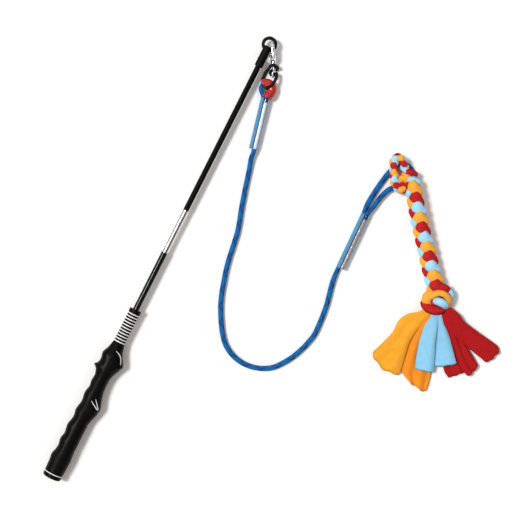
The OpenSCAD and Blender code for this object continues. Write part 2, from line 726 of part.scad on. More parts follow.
// One edge of a tail at share t of its length, through the root, the middle and the tip
function edge_at(e, t) = 2 * (t - 0.5) * (t - 1) * e[0] - 4 * t * (t - 1) * e[1] + 2 * t * (t - 0.5) * e[2];

// A strip of fleece: it leaves the knot, comes down to its layer and lies there with an arched back
module tail(row) {
    layer_z = row[2] * (tail_t + seat_gap);
    rings = [for (i = [0 : tail_steps])
        let (t = i / tail_steps,
            down = pow(1 - t, 3) * tail_root_share * tail_len,
            left = edge_at(row[0], t),
            right = edge_at(row[1], t),
            arch = row[3] * tail_len * min(1, 2.5 * t),
            top = [for (j = [0 : tail_cells])
                let (q = j / tail_cells, p = left + (right - left) * q)
                [tail_len * p[1], tail_len * p[0], layer_z + tail_t + down + arch * pow(sin(180 * q), 0.8)]])
        concat([for (j = [0 : tail_cells]) top[j] - [0, 0, tail_t]],
            [for (j = [tail_cells : -1 : 0]) top[j]])];
    difference() {
        on_knot() skin(rings);
        lure_knot();
    }
}

module tail_orange_outer() { color("#ff9d1e") tail(tail_shares[0]); }

module tail_orange_inner() { color("#f98a14") tail(tail_shares[1]); }

module tail_blue_left() { color("#9fd0ec") tail(tail_shares[2]); }

module tail_blue_right() { color("#93c8e8") tail(tail_shares[3]); }

module tail_red_inner() { color("#a31722") tail(tail_shares[4]); }

module tail_red_middle() { color("#b01a25") tail(tail_shares[5]); }

module tail_red_outer() { color("#bf1f2a") tail(tail_shares[6]); }

butt_cap();
butt_ring();
grip();
grip_marks();
ribbed_collar();
collar_bands();
lower_shaft();
guide_bush();
inner_tube();
tube_stop();
upper_sleeve();
tip_sleeve();
tip_cap();
split_ring();
snap_body();
snap_bolt();
bolt_spring();
swivel_eye();
cord_loop();
rope();
rope_eye_tube();
tip_rope_sleeve();
lure_rope_sleeve();
lure_loop();
lure_loop_tie();
lure_braid();
lure_knot();
tail_orange_outer();
tail_orange_inner();
tail_blue_left();
tail_blue_right();
tail_red_inner();
tail_red_middle();
tail_red_outer();
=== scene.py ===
"""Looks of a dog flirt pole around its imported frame: grip, tubes, snap, rope and fleece lure."""

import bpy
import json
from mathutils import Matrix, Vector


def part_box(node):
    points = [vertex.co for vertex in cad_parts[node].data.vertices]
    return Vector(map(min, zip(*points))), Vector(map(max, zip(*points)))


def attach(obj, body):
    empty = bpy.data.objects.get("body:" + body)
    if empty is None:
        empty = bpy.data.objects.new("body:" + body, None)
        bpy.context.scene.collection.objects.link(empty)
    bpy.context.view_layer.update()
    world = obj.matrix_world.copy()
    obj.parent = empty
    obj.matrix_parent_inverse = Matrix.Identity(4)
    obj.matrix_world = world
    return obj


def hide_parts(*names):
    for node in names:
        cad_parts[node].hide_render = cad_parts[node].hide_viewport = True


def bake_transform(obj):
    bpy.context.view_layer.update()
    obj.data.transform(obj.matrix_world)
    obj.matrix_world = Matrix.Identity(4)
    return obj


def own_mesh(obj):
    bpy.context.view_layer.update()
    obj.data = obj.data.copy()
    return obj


bl_info = {
    "name": "Dog flirt pole",
    "version": (1, 0, 0),
    "blender": (4, 5, 0),
    "location": "3D View > Sidebar > Flirt Pole",
    "description": "Dresses a telescopic flirt pole with its grip, rope and braided fleece lure",
    "category": "Object",
}

import json
import math

import bmesh
import bpy
import numpy as np
from bpy.props import FloatProperty, FloatVectorProperty, IntProperty, PointerProperty
from mathutils import Vector
from mathutils.bvhtree import BVHTree

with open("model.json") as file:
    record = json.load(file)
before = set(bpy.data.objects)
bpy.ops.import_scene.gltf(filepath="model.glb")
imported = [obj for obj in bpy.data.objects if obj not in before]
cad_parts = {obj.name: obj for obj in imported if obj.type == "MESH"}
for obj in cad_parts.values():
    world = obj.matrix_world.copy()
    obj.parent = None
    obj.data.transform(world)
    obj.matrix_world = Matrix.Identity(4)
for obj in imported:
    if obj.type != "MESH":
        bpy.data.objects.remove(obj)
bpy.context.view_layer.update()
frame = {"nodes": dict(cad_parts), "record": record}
NODES = frame["nodes"]

# A millimetre, and how near corners are that become one
MM = 0.001
WELD = 1e-6

# Places taken from the frame
RING_LOW, RING_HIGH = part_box("split_ring")
RING_CENTRE = (RING_LOW + RING_HIGH) / 2
GRIP_LOW, GRIP_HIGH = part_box("grip")
TABLE_Z = GRIP_LOW.z
LINE_ORIGIN = np.array((RING_CENTRE.x, RING_CENTRE.y, TABLE_Z))

# Steps along the courses of the rope, the cord, the braid, its loop, its tie and the knot
ROPE_STEP = 0.0006
CORD_STEP = 0.0005
BRAID_STEP = 0.0005
LOOP_STEP = 0.0004
TIE_STEP = 0.0006
KNOT_STEP = 0.0009

# Rope from one cut end to the other, in millimetres: x and y from the ring's centre, height above
# the table, and the share of the rope's full radius there
ROPE_ROUTE = [
    (43.1, -143, 4.1, 0.86), (36.5, -115, 5, 0.86), (29.6, -85.5, 5.9, 0.86), (25.9, -70.5, 6.4, 0.86),
    (20.4, -65.2, 8, 0.82), (17.4, -61.7, 8.8, 0.8), (16.5, -58, 9, 0.8), (17.4, -54.3, 9, 0.8),
    (20, -51.4, 9, 0.8), (23.6, -50.1, 9, 0.8), (27.4, -50.6, 9, 0.8), (30.6, -52.9, 9, 0.8),
    (32.3, -56.4, 9, 0.8), (32.4, -60, 9.3, 0.8), (32, -64, 10.2, 0.82), (30.7, -69.3, 11.3, 0.86),
    (34.3, -84.3, 10.8, 0.86), (41.2, -113.8, 9.9, 0.86), (47.7, -142, 9, 0.86), (49.5, -156, 6.6, 0.95),
    (54.5, -172.2, 4, 1), (61, -197, 3.8, 1), (69.3, -226.3, 3.8, 1), (79.1, -258.4, 3.8, 1),
    (86.5, -302.7, 3.8, 1), (92.8, -327.4, 3.8, 1), (100, -351, 3.8, 1), (108, -369, 3.8, 1),
    (117, -385, 3.8, 1), (126, -398.3, 3.8, 1), (137.4, -410.4, 3.8, 1), (152.5, -418.6, 3.8, 1),
    (167.3, -421.8, 3.8, 1), (182.9, -421.1, 3.8, 1), (198.6, -416, 3.8, 1), (211.3, -407.8, 3.8, 1),
    (221.2, -395.8, 3.8, 1), (229.6, -382, 3.8, 1), (235.6, -368, 3.8, 1), (240.2, -353, 3.8, 1),
    (243, -334.8, 3.8, 1), (240, -297.5, 3.8, 1), (232.7, -262.4, 3.8, 1), (230.5, -239, 4.1, 0.86),
    (229.5, -203, 4.1, 0.86),
    (228.3, -163, 4.1, 0.86), (228, -153, 4.1, 0.86), (227, -138, 3.8, 1), (229, -114, 3.8, 1),
    (232.5, -92, 3.8, 1), (236.5, -77, 3.8, 1), (243, -67.5, 3.8, 1), (252, -64.5, 3.8, 1),
    (261, -67.5, 3.8, 1), (266, -75, 3.8, 1), (265, -84, 4.4, 1), (258.4, -92.6, 6, 1),
    (250.4, -100.6, 7, 1), (243.8, -109, 7, 1), (239.2, -122, 6.8, 1), (236, -138, 7.6, 0.95),
    (233, -153, 9.1, 0.86), (233.2, -163, 9.1, 0.86), (234.3, -203, 9.1, 0.86), (235.4, -238, 9.1, 0.86),
]

# Rope: the sides of its mesh, and the carriers with marker yarn
ROPE_SIDES = 40
MARKED_CARRIERS = (0, 1)

# Closed loop of black cord, as x, y and height in the same way
CORD_ROUTE = [
    (24, -57.2, 8.4), (21.6, -56, 3.2), (16.8, -53, 2.4), (13.4, -48.4, 2.3), (12.8, -41, 2.3),
    (12.8, -36, 3), (14, -32.2, 7), (15.6, -26.8, 13.8), (18.6, -23.4, 14.9), (23.2, -23.6, 12.4),
    (25.4, -24, 7.8), (25.2, -25.6, 3.4), (22.4, -28.2, 2.3), (19, -32, 2.8), (20.9, -36.4, 5.5),
    (24.7, -34.2, 8), (27.6, -32.4, 10.2), (29.6, -36.4, 11.8), (30.2, -44.6, 14.8), (29, -51, 16.6),
    (25.6, -55.4, 13.4),
]

# Cord: the sides of its mesh, its strands each way, their relief in metres and their lead in diameters
CORD_SIDES = 32
CORD_CARRIERS = 8
CORD_RELIEF = 0.0003
CORD_LEAD = 2.6

# Clear sleeves: the ends of their centre lines and the tint of the band painted over their upper strand, a
# white painted highlight on the tip sleeve and a tan painted shadow on the lure sleeve; then half the
# distance of the two strands inside, a sleeve's radius round each and its wall
SLEEVES = {
    "tip_rope_sleeve": ((28.4, -70.4, 8.8), (45.5, -142.4, 6.55), (0.78, 0.85, 0.95, 1)),
    "lure_rope_sleeve": ((230.6, -154, 6.6), (233, -239, 6.6), (0.36, 0.31, 0.29, 1)),
}
STRAND_SIDE = 3.47
SLEEVE_RADIUS = 3.97
SLEEVE_WALL = 0.4
SLEEVE_STEP = 0.002
SLEEVE_GRID = (200, 64)

# Band painted on a sleeve, a highlight on the tip sleeve and a shadow on the lure sleeve, in shares of a
# turn: its middle and half width, the half width of the dark line of painted shade round it, and the soft
# edge of both. It starts at a share of the sleeve's length, with a soft edge too.
PAINTED_BAND_MIDDLE = 0.065
PAINTED_BAND_HALF = 0.065
PAINTED_GAP_HALF = 0.115
PAINTED_BAND_EDGE = 0.02
PAINTED_BAND_START = (0.07, 0.03)

# Red tube: the first and last of the rope's points inside it, its radius and its wall
EYE_TUBE_SPAN = (7, 15)
EYE_TUBE_RADIUS = 6.8
EYE_TUBE_WALL = 3.4
EYE_TUBE_GRID = (200, 40)

# Lure: the braid's start and turn on the line, and the courses of the thin loop and its tie in shares
# of the loop's size and height
LURE_START = (270, -84)
LURE_TURN = math.radians(-51.1)
LOOP_SIZE = 44
LOOP_ROUTE = [
    (0.05, -0.06), (-0.13, 0.02), (-0.29, 0.13), (-0.42, 0.27), (-0.54, 0.41), (-0.67, 0.51), (-0.81, 0.49),
    (-0.85, 0.34), (-0.76, 0.14), (-0.64, -0.07), (-0.49, -0.27), (-0.3, -0.38), (-0.13, -0.31),
]
TIE_ROUTE = [
    (-0.28, -0.42, 0.7), (-0.29, -0.46, 0.3), (-0.34, -0.43, 0.1), (-0.43, -0.33, 0.095),
    (-0.54, -0.22, 0.1), (-0.6, -0.18, 0.3), (-0.59, -0.18, 0.7),
]
LOOP_HEIGHT = 17.8
LOOP_SIDES = 28
TIE_HALF = (0.0014, 0.0015)
TIE_SIDES = 20
TIE_SEED = 5

# Braid: its length, the stops along its spine with their heights and sideways bow, the swell of its strips
# at the two ends, and the phase of its crossings and of the loop's
BRAID_LENGTH = 163
BRAID_STOPS = (-3, 50, 100, BRAID_LENGTH - 3)
BRAID_HEIGHTS = (20.2, 19.2, 15.6, 14.6)
BRAID_BOW = (1.2, 2.4, 1.0, -0.4)
BRAID_SWELL = (1.11, 1.24)
BRAID_OFFSET = -0.6
LOOP_OFFSET = 0.6
KNOT_LENGTH = 35
TAIL_TURN = math.radians(-63.27)

# Knot: bent lengths of strip, as colour, half thickness and points to the right, down and up from the
# knot's middle, and how much wider than thick they are
KNOT_TURNS = [
    ("red", 8.4, [(-9, -4, 10), (-3, 0, 12), (5, 3, 12), (10, 3, 10)]),
    ("blue", 4.8, [(5, -13, 9), (11.5, -15, 12.5), (17.5, -11, 14), (17, -3, 11.5), (9, 3, 8)]),
    ("orange", 6.6, [(-6, -9.5, 16), (-12, -9, 18), (-16, -4, 16), (-15, 2, 11), (-9, 6, 8)]),
    ("red", 6, [(-18.5, 1, 8), (-17.5, 6, 12), (-13, 11, 16), (-5, 13.5, 17), (2, 12.5, 15.5), (7, 9, 10)]),
    ("orange", 4.2, [
        (-10, -5, 19), (-7, -9.5, 24), (1, -11.5, 27), (9, -8.5, 26), (14, -2, 20), (14, 5, 12)]),
    ("blue", 5.4, [(-4, -1, 17), (0, 0.5, 22.5), (3.5, 2, 24), (7.5, 4, 21.5), (9.5, 6.5, 14)]),
    ("red", 5.2, [(-8, -20, 14), (-4, -20.5, 19), (3, -20, 21.5), (9.5, -18, 19.5), (13, -15, 13)]),
]
KNOT_SPREAD = 1.1

# Tucked end of the thin braid between the loop's limbs, in the same way
LOOP_TUCKS = [
    ("orange", 4.6, [(-54, -171, 15), (-51, -174, 19), (-46, -172.5, 20), (-43.5, -167, 15)]),
    ("red", 4.4, [(-53.5, -166, 14), (-51, -163, 18.5), (-47.5, -160, 18.5), (-46, -156, 14)]),
    ("red", 4.6, [(-50, -180, 15), (-46, -182.5, 20.5), (-38, -181.5, 21), (-32, -178, 16)]),
    ("blue", 4.4, [(-44, -169, 16), (-41, -172, 21.5), (-35, -172, 22), (-30.5, -168, 16)]),
]

# Fleece tails: colour, left and right edge from root to tip in millimetres to the right and down from the
# knot's middle, then layer, arch, folds as count, depth and phase, and tip as bulge, corner, wave and lift
TAILS = {
    "tail_orange_outer": (
        "orange",
        [(-18, 10), (-28, 16), (-43, 19), (-55, 28), (-64, 45), (-78, 60), (-94, 76)],
        [(-9, 17), (-19, 27.5), (-30, 42), (-41, 61), (-49, 88), (-55, 106)],
        1, 3.5, (1.3, 1.0, 0.1), (7, 5, 1.4, 0)),
    # The inner orange tail takes the darker orange, which is painted shade.
    "tail_orange_inner": (
        "deep_orange",
        [(-14, 15), (-32, 42), (-46, 71), (-53, 94), (-47, 108)],
        [(-5, 18), (-7, 42), (-8, 71), (-8.5, 103), (-15, 131)],
        0, 1.5, (2.4, 1.5, 0.55), (4, 2, 1.3, 0)),
    "tail_blue_left": (
        "blue",
        [(-8, 16), (-14, 27), (-20.5, 35), (-23.5, 46), (-27.5, 65), (-31, 86), (-32, 97)],
        [(-1, 17), (0.5, 28), (-1, 37), (-3.5, 59), (-4.5, 81), (-6.5, 102)],
        1.6, 4.2, (0.6, 1.9, -0.38), (0.5, 0.8, 0.3, 0)),
    "tail_blue_right": (
        "blue",
        [(-2, 17), (-3, 33), (-5, 48), (-6, 65), (-4.5, 94)],
        [(5, 17), (8, 31), (14, 44), (18.5, 57), (23, 75), (27, 90)],
        0.8, 3.6, (0.9, 0.5, 0.4), (0.5, 0.8, 0.3, 4)),
    "tail_red_inner": (
        "red",
        [(4, 17), (7, 43), (8, 71), (9, 97), (16, 110)],
        [(11, 16), (20, 50), (27, 78), (34, 97), (39, 102)],
        0, 1.5, (1, 0.8, 0.2), (0.5, 1, 0.5, 0)),
    "tail_red_middle": (
        "red",
        [(10, 16), (18, 48), (25, 68), (29, 85), (34, 97), (44, 108)],
        [(17, 13), (28, 43), (43, 69), (51, 81), (58, 93)],
        1, 2.5, (1.6, 1.3, 0.75), (0.5, 1, 0.5, 0)),
    "tail_red_outer": (
        "red",
        [(3, 17), (6, 25), (14, 40), (23, 50), (35, 59), (46, 69), (62, 82), (70, 89)],
        [(18, 9), (31, 20), (39, 31), (62, 48), (84, 64), (89, 71)],
        2, 3.5, (0.9, 0.6, 0.3), (1, 3.5, 0.8, -3.5)),
}

# Tails: a layer's height, the height of the lowest one and of the root, the step along their edges and their
# grid
TAIL_LAYER = 2.9
TAIL_LOW = 1.3
TAIL_ROOT = 10.5
TAIL_STEP = 0.8
TAIL_GRID = (80, 44)

# Fleece: the record's slot for each colour, and how dark the painted shade is that the fleece gets along the
# tails' edges and in the strips' creases
FLEECE_SLOTS = {
    "orange": "orange_fleece", "deep_orange": "orange_fleece", "red": "red_fleece", "blue": "blue_fleece"}
PAINTED_EDGE_SHADES = {"orange": 0.5, "deep_orange": 0.5, "red": 0.2, "blue": 0.2}

# Strips in the braid, its loop and the knot get a copy of their fleece painted lighter, a painted highlight
# for the
# brighter light they catch: the share of their colour and the white that is added; then the order of the
# colours in the braid and in its loop
PLAIT_PAINTED_LIGHT = {"orange": (1.04, 0.025), "red": (1.2, 0.006), "blue": (1.08, 0.09)}
PLAIT_ORDER = ("orange", "red", "blue")
LOOP_ORDER = ("blue", "red", "orange")

# Plait of three, in pitches: sway from side to side, rise at a crossing, and a strip's half width. The
# braid and its loop are turned about their length, so that the crossings on the right face up.
PLAIT_SWAY = 0.43
PLAIT_RISE = 0.31
PLAIT_WIDTH = 0.47
BRAID_TURN = math.radians(52)
LOOP_TURN = math.radians(60)

# Shares of a pipe's grid at the ends of its outside, its end, its inside and its start
PIPE_STOPS = (0, 0.49, 0.5, 0.99, 1)

# Spring of the bolt: thickness of its wire in millimetres, its turns, the steps in a turn and the sides of
# the wire
SPRING_WIRE = 0.5
SPRING_TURNS = 5
SPRING_STEPS = 40
SPRING_SIDES = 12

# Split ring: outer radius, width and height of its wire, its turns, where the wire starts, its steps and
# its sides
RING_RADIUS = 11.3
RING_WIRE = (4.8, 1.62)
RING_TURNS = 1.94
RING_START = math.radians(104)
RING_STEPS = 240
RING_SIDES = 24

# Finger swells and hollows on the grip's left side: place along it, rise and reach in millimetres
GRIP_SWELLS = (
    (30, 0.6, 6), (44, -0.7, 6), (57, 0.4, 5), (66, -0.4, 4), (79, 0.9, 6), (93, -0.8, 6), (103, 0.5, 5),
    (117, -0.9, 7), (130, 0.7, 6), (141, -0.5, 4), (150, 0.3, 4), (193, 2.2, 6),
)

# Grip: its stations and sides, and its thumb rests, as their edge's place on top and on the right in metres.
# An edge has a middle and a spread round the grip in radians, a rise, a step, a reach and a fade in metres.
GRIP_ROWS = 256
GRIP_SIDES = 112
THUMB_RESTS = ((0.166, 0.182), (0.104, 0.112))
THUMB_MIDDLE = 0.5
THUMB_SPREAD = 1.5
THUMB_RISE = 0.0009
THUMB_STEP = 0.0022
THUMB_REACH = 0.022
THUMB_FADE = 0.018

# Bands of the collar: how many, their grooves' width, and the share of a groove that a band fills
BAND_COUNT = 11
BAND_WIDTH = 2
BAND_SHARE = 0.76

# White strokes on the grip: points as x and y, with the width there, in millimetres, the step along them,
# and the print's thickness and lift in metres
GRIP_STROKES = (
    [(2, 203, 0.9), (9.5, 199, 1.2), (14, 193, 0.9), (16.4, 187, 0.6)],
    [(2.5, 124.5, 0.8), (9.5, 120, 1.2), (16.4, 115.4, 1.5)],
    [(6.6, 129.4, 0.7), (12, 122.6, 1.0), (16.6, 116.6, 1.3)],
)
PRINT_STEP = 0.8
PRINT_THICKNESS = 0.00025
PRINT_LIFT = 0.00012

# Camera, table and light: the spot that the camera looks at, the table's radius and its gap under the
# pole, the sun's width, colour and way over the table as shares to the right and up in the view, and the
# colour of the light from all around
VIEW_CENTRE = (0.1258, 0.4092, 0)
TABLE_RADIUS = 6
TABLE_GAP = 0.0002
SUN_WIDTH = math.radians(13)
SUN_COLOUR = (0.97, 0.99, 1.0)
SUN_WAY = (0.95, -0.3)
FILL_COLOUR = (1.0, 0.94, 0.9, 1)

# Tones of the sky in reflections, from the left to the right of the view
SKY_TONES = (
    (-0.98, 0.1), (-0.8, 0.3), (-0.5, 1.0), (-0.2, 1.0), (0.05, 0.65), (0.5, 0.4), (0.85, 0.15),
    (0.98, 0.06),
)


# Settings

def colour_setting(name, description, *colour):
    """A colour that the user may change."""
    return FloatVectorProperty(
        name=name, description=description, subtype="COLOR", size=4, default=colour + (1.0,),
        min=0.0, max=1.0)


def length_setting(name, description, default):
    """A length that the user may change."""
    return FloatProperty(name=name, description=description, default=default, unit="LENGTH")


def angle_setting(name, description, degrees):
    """An angle that the user may change."""
    return FloatProperty(name=name, description=description, default=math.radians(degrees), unit="ROTATION")


class FlirtPoleColours(bpy.types.PropertyGroup):
    """Colours of the flirt pole's pieces."""

    rubber: colour_setting("Rubber", "Moulded rubber of the grip and collar", 0.0032, 0.0027, 0.0024)
    rope: colour_setting("Rope", "Yarn of the rope", 0.0006, 0.127, 0.38)
    marker: colour_setting("Marker yarn", "Marker yarn that flecks the rope", 0.004, 0.03, 0.14)
    eye_tube: colour_setting("Eye tube", "Plastic tube round the rope's eye", 0.46, 0.014, 0.009)
    orange: colour_setting("Orange fleece", "Orange strips of the lure", 0.92, 0.4, 0.026)
    # Painted shade: the inner orange tail is the same fleece as the other orange strips, given this darker
    # copy of its colour for the shade it lies in.
    deep_orange: colour_setting("Deep orange fleece", "Orange strip with a deeper dye", 0.93, 0.29, 0.018)
    red: colour_setting("Red fleece", "Red strips of the lure", 0.42, 0.006, 0.008)
    blue: colour_setting("Blue fleece", "Light blue strips of the lure", 0.27, 0.6, 0.85)


class FlirtPoleSizes(bpy.types.PropertyGroup):
    """Sizes of the flirt pole's soft pieces."""

    rope_diameter: length_setting("Rope diameter", "Diameter of the rope", 0.0076)
    rope_relief: length_setting("Rope relief", "Depth of the dips between the rope's strands", 0.00035)
    rope_lead: length_setting("Rope lead", "Length in which a strand goes once round the rope", 0.024)
    rope_carriers: IntProperty(
        name="Rope carriers", description="Strands that turn each way in the rope",
        default=8, min=4, max=16)
    cord_diameter: length_setting("Cord diameter", "Diameter of the black cord", 0.0046)
    braid_strand: length_setting("Braid strand", "Half the thickness of a folded strip in the braid", 0.0043)
    braid_pitch: length_setting("Braid pitch", "Length of one crossing of the braid", 0.0142)
    loop_strand: length_setting("Loop strand", "Half the thickness of a folded strip in the loop", 0.0027)
    loop_pitch: length_setting("Loop pitch", "Length of one crossing of the loop's thin braid", 0.0094)
    fleece_thickness: length_setting("Fleece thickness", "Thickness of the loose fleece strips", 0.0022)


class FlirtPoleStage(bpy.types.PropertyGroup):
    """Camera and light."""

    view_width: length_setting("View width", "Width of the table that the camera sees", 0.7384)
    view_turn: angle_setting("View turn", "Turn of the camera about the vertical", 26.73)
    view_height: length_setting("View height", "Height of the camera", 2.2)
    sun_strength: FloatProperty(name="Sun strength", description="Strength of the main light", default=2.3)
    sun_elevation: angle_setting("Sun elevation", "Height of the main light above the table", 61)
    fill: FloatProperty(name="Fill", description="Strength of the light from all around", default=0.5)


# Curves and meshes

def unit(rows):
    """The rows scaled to length one."""
    return rows / np.linalg.norm(rows, axis=-1, keepdims=True)


def eased(value):
    """A value from 0 to 1 with a soft start and end."""
    value = np.clip(value, 0, 1)
    return value * value * (3 - 2 * value)


def course(points, step, closed=False):
    """Evenly spaced rows on a smooth curve through the points. Values after x, y and z follow along."""
    p = np.array(points, float)
    p = np.vstack([p[-1:], p, p[:2]]) if closed else np.vstack([p[:1], p, p[-1:]])
    a, b, c, d = (q[:, None, :] for q in (p[:-3], p[1:-2], p[2:-1], p[3:]))
    t = np.linspace(0, 1, 48, endpoint=False)[None, :, None]
    rows = (2 * b + (c - a) * t + (2 * a - 5 * b + 4 * c - d) * t**2 + (3 * b - a - 3 * c + d) * t**3) / 2
    rows = np.vstack([rows.reshape(-1, p.shape[1]), p[-2]])
    along = np.concatenate([[0], np.cumsum(np.linalg.norm(np.diff(rows[:, :3], axis=0), axis=1))])
    spots = np.linspace(0, along[-1], max(2, round(along[-1] / step)) + 1)
    return np.stack([np.interp(spots, along, rows[:, k]) for k in range(rows.shape[1])], axis=1)


def path_length(path):
    """Length of a row of points."""
    return float(np.linalg.norm(np.diff(path[:, :3], axis=0), axis=1).sum())


def line_course(points, step, closed=False):
    """A course from millimetres on the line to metres in the frame."""
    rows = np.array(points, float)
    rows[:, :3] = rows[:, :3] * MM + LINE_ORIGIN
    return course(rows, step, closed)


def headings(path, closed=False):
    """The direction of a path at each of its points."""
    if closed:
        ring = np.vstack([path[-2:-1], path, path[1:2]])
        return unit(ring[2:] - ring[:-2])
    return unit(np.gradient(path, axis=0))


def carried_sides(path, closed=False):
    """A side vector at each point of a path, carried along without twist."""
    heading = headings(path, closed)
    side = np.empty_like(heading)
    v = np.array((0.0, 0.0, 1.0)) if abs(heading[0, 2]) < 0.9 else np.array((1.0, 0.0, 0.0))
    for i, t in enumerate(heading):
        v = unit(v - v.dot(t) * t)
        side[i] = v
    if closed:
        twist = math.atan2(np.cross(side[-1], side[0]).dot(heading[0]), side[-1].dot(side[0]))
        turn = (np.linspace(0, 1, len(path)) * twist)[:, None]
        side = np.cos(turn) * side + np.sin(turn) * np.cross(heading, side)
    return side


def level_sides(path, up=(0.0, 0.0, 1.0)):
    """A side vector at each point of a path, as near to the given direction as it can be."""
    heading = headings(path)
    up = np.broadcast_to(np.array(up, float), heading.shape)
    return unit(up - (up * heading).sum(1, keepdims=True) * heading)


def wrapped(path, side, radius, closed=False):
    """Places a grid round a path. The radius is along the side vector and, if it differs, also across it."""
    heading = headings(path, closed)
    last = len(path) - 1

    def place(s, v):
        at = s * last
        i = np.minimum(at.astype(int), last - 1)
        f = (at - i)[:, None]
        centre, t, n = (rows[i] * (1 - f) + rows[i + 1] * f for rows in (path, heading, side))
        n = unit(n)
        b = np.cross(unit(t), n)
        a = 2 * np.pi * v[:, None]
        r = np.reshape(radius(s, v), (len(s), -1))
        return centre + r[:, :1] * np.cos(a) * n + r[:, -1:] * np.sin(a) * b

    return place


def even(radius):
    """A radius that is the same all over."""
    return lambda s, v: np.full(len(s), radius)


def new_piece(bm, name):
    """A mesh object from a bmesh, which is freed."""
    mesh = bpy.data.meshes.new(name)
    bm.to_mesh(mesh)
    bm.free()
    mesh.shade_smooth()
    piece = bpy.data.objects.new(name, mesh)
    bpy.context.scene.collection.objects.link(piece)
    return piece


def laid_grid(name, along, across, place, masks=(), closed_up=True, capped=False):
    """A piece made of a grid whose corners are placed by their shares along and across."""
    bm = bmesh.new()
    bm.loops.layers.uv.new("UVMap")
    layers = [(bm.verts.layers.float.new(key), mask) for key, mask in dict(masks).items()]
    bmesh.ops.create_grid(bm, x_segments=along, y_segments=across, size=0.5, calc_uvs=True)
    shares = np.array([vert.co[:2] for vert in bm.verts]) + 0.5
    s, v = shares[:, 0], shares[:, 1]
    for vert, spot in zip(bm.verts, place(s, v)):
        vert.co = spot
    for layer, mask in layers:
        for vert, value in zip(bm.verts, mask(s, v)):
            vert[layer] = value
    if closed_up:
        bmesh.ops.remove_doubles(bm, verts=bm.verts[:], dist=WELD)
    if capped:
        bmesh.ops.holes_fill(bm, edges=[edge for edge in bm.edges if edge.is_boundary], sides=0)
    bmesh.ops.recalc_face_normals(bm, faces=bm.faces[:])
    return new_piece(bm, name)


def ripple(s, v, waves):
    """A smooth uneven value from -1 to 1, from waves of (turns along, turns round, phase)."""
    total = sum(np.sin(2 * np.pi * (m * s + n * v) + phase) for m, n, phase in waves)
    return total / len(waves)


def finish_with(piece, kind, name, **settings):
    """Adds a modifier with these settings."""
    modifier = piece.modifiers.new(name, kind)
    for key, value in settings.items():
        setattr(modifier, key, value)
    return modifier


def dress(piece, body, material, slot, *nodes):
    """Gives a piece its material, hides the nodes it stands for and, if it rides on one, its body. The slot
    is not used.
    """
    piece.data.materials.clear()
    piece.data.materials.append(material)
    if body:
        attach(piece, body)
    if nodes:
        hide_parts(*nodes)
    return piece


def joint_entry(name):
    """What the record says about a joint."""
    return next(joint for joint in frame["record"]["behaviour"]["joints"] if joint["name"] == name)


def paint_node(name, material):
    """Gives a CAD node its finish."""
    slots = NODES[name].data.materials
    slots.clear()
    slots.append(material)


# Materials

def wire(tree, sockets, inputs):
    """Sets these sockets to a value, or links them to another socket."""
    for key, value in dict(inputs).items():
        if isinstance(value, bpy.types.NodeSocket):
            tree.links.new(value, sockets[key])
        else:
            sockets[key].default_value = value


def add(tree, kind, inputs=(), **settings):
    """Adds a shader node."""
    node = tree.nodes.new(kind)
    for key, value in settings.items():
        setattr(node, key, value)
    wire(tree, node.inputs, inputs)
    return node


def new_group(name, inputs, outputs):
    """A shader node group with named sockets, each a (name, kind, default)."""
    tree = bpy.data.node_groups.new(name, "ShaderNodeTree")
    for key, kind, default in inputs:
        socket = tree.interface.new_socket(key, in_out="INPUT", socket_type="NodeSocket" + kind)
        socket.default_value = default
    for key, kind in outputs:
        tree.interface.new_socket(key, in_out="OUTPUT", socket_type="NodeSocket" + kind)
    return tree, tree.nodes.new("NodeGroupInput").outputs, tree.nodes.new("NodeGroupOutput").inputs


def mixed(tree, factor, a, b):
    """A colour between two colours."""
    return add(tree, "ShaderNodeMix", {0: factor, 6: a, 7: b}, data_type="RGBA").outputs[2]


def sums(tree, operation, a, b=0.0):
    """One step of arithmetic."""
    return add(tree, "ShaderNodeMath", {0: a, 1: b}, operation=operation).outputs[0]


def ranged(tree, value, low, high, to_low=0.0, to_high=1.0):
    """A value moved from one range to another, and kept in it."""
    return add(tree, "ShaderNodeMapRange", {
        "Value": value, "From Min": low, "From Max": high, "To Min": to_low, "To Max": to_high}).outputs[0]


def own_place(tree):
    """The piece's own coordinates."""
    return add(tree, "ShaderNodeTexCoord").outputs["Object"]


def point_share(tree, name):
    """A share that the piece's points hold."""
    return add(tree, "ShaderNodeAttribute", attribute_name=name).outputs["Fac"]


def object_noise(tree, scale, detail=3.0, stretch=(1.0, 1.0, 1.0)):
    """Noise on the piece's own coordinates, in cells per metre."""
    spread = add(tree, "ShaderNodeMapping", {"Vector": own_place(tree), "Scale": stretch}).outputs[0]
    return add(tree, "ShaderNodeTexNoise", {"Vector": spread, "Scale": scale, "Detail": detail}).outputs[0]


def dulled(tree, given, share):
    """A roughness between a group's smooth and dull values."""
    span = sums(tree, "SUBTRACT", given["Dull"], given["Smooth"])
    return sums(tree, "ADD", given["Smooth"], sums(tree, "MULTIPLY", share, span))


def wear_group():
    """Handling marks: dull patches and small scuffs."""
    tree, given, out = new_group("Handling wear", (
        ("Colour", "Color", (0.5, 0.5, 0.5, 1)), ("Worn colour", "Color", (0.6, 0.6, 0.6, 1)),
        ("Amount", "Float", 0.3), ("Smooth", "Float", 0.3), ("Dull", "Float", 0.5)),
        (("Colour", "Color"), ("Roughness", "Float"), ("Height", "Float")))
    patches = ranged(tree, object_noise(tree, 42.0), 0.42, 0.72)
    scuffs = ranged(tree, object_noise(tree, 900.0, 2.0), 0.56, 0.74)
    worn = sums(tree, "MULTIPLY", sums(tree, "MULTIPLY", patches, scuffs), given["Amount"])
    wire(tree, out, {
        "Colour": mixed(tree, worn, given["Colour"], given["Worn colour"]),
        "Roughness": dulled(tree, given, patches), "Height": object_noise(tree, 2400.0, 2.0)})
    return tree


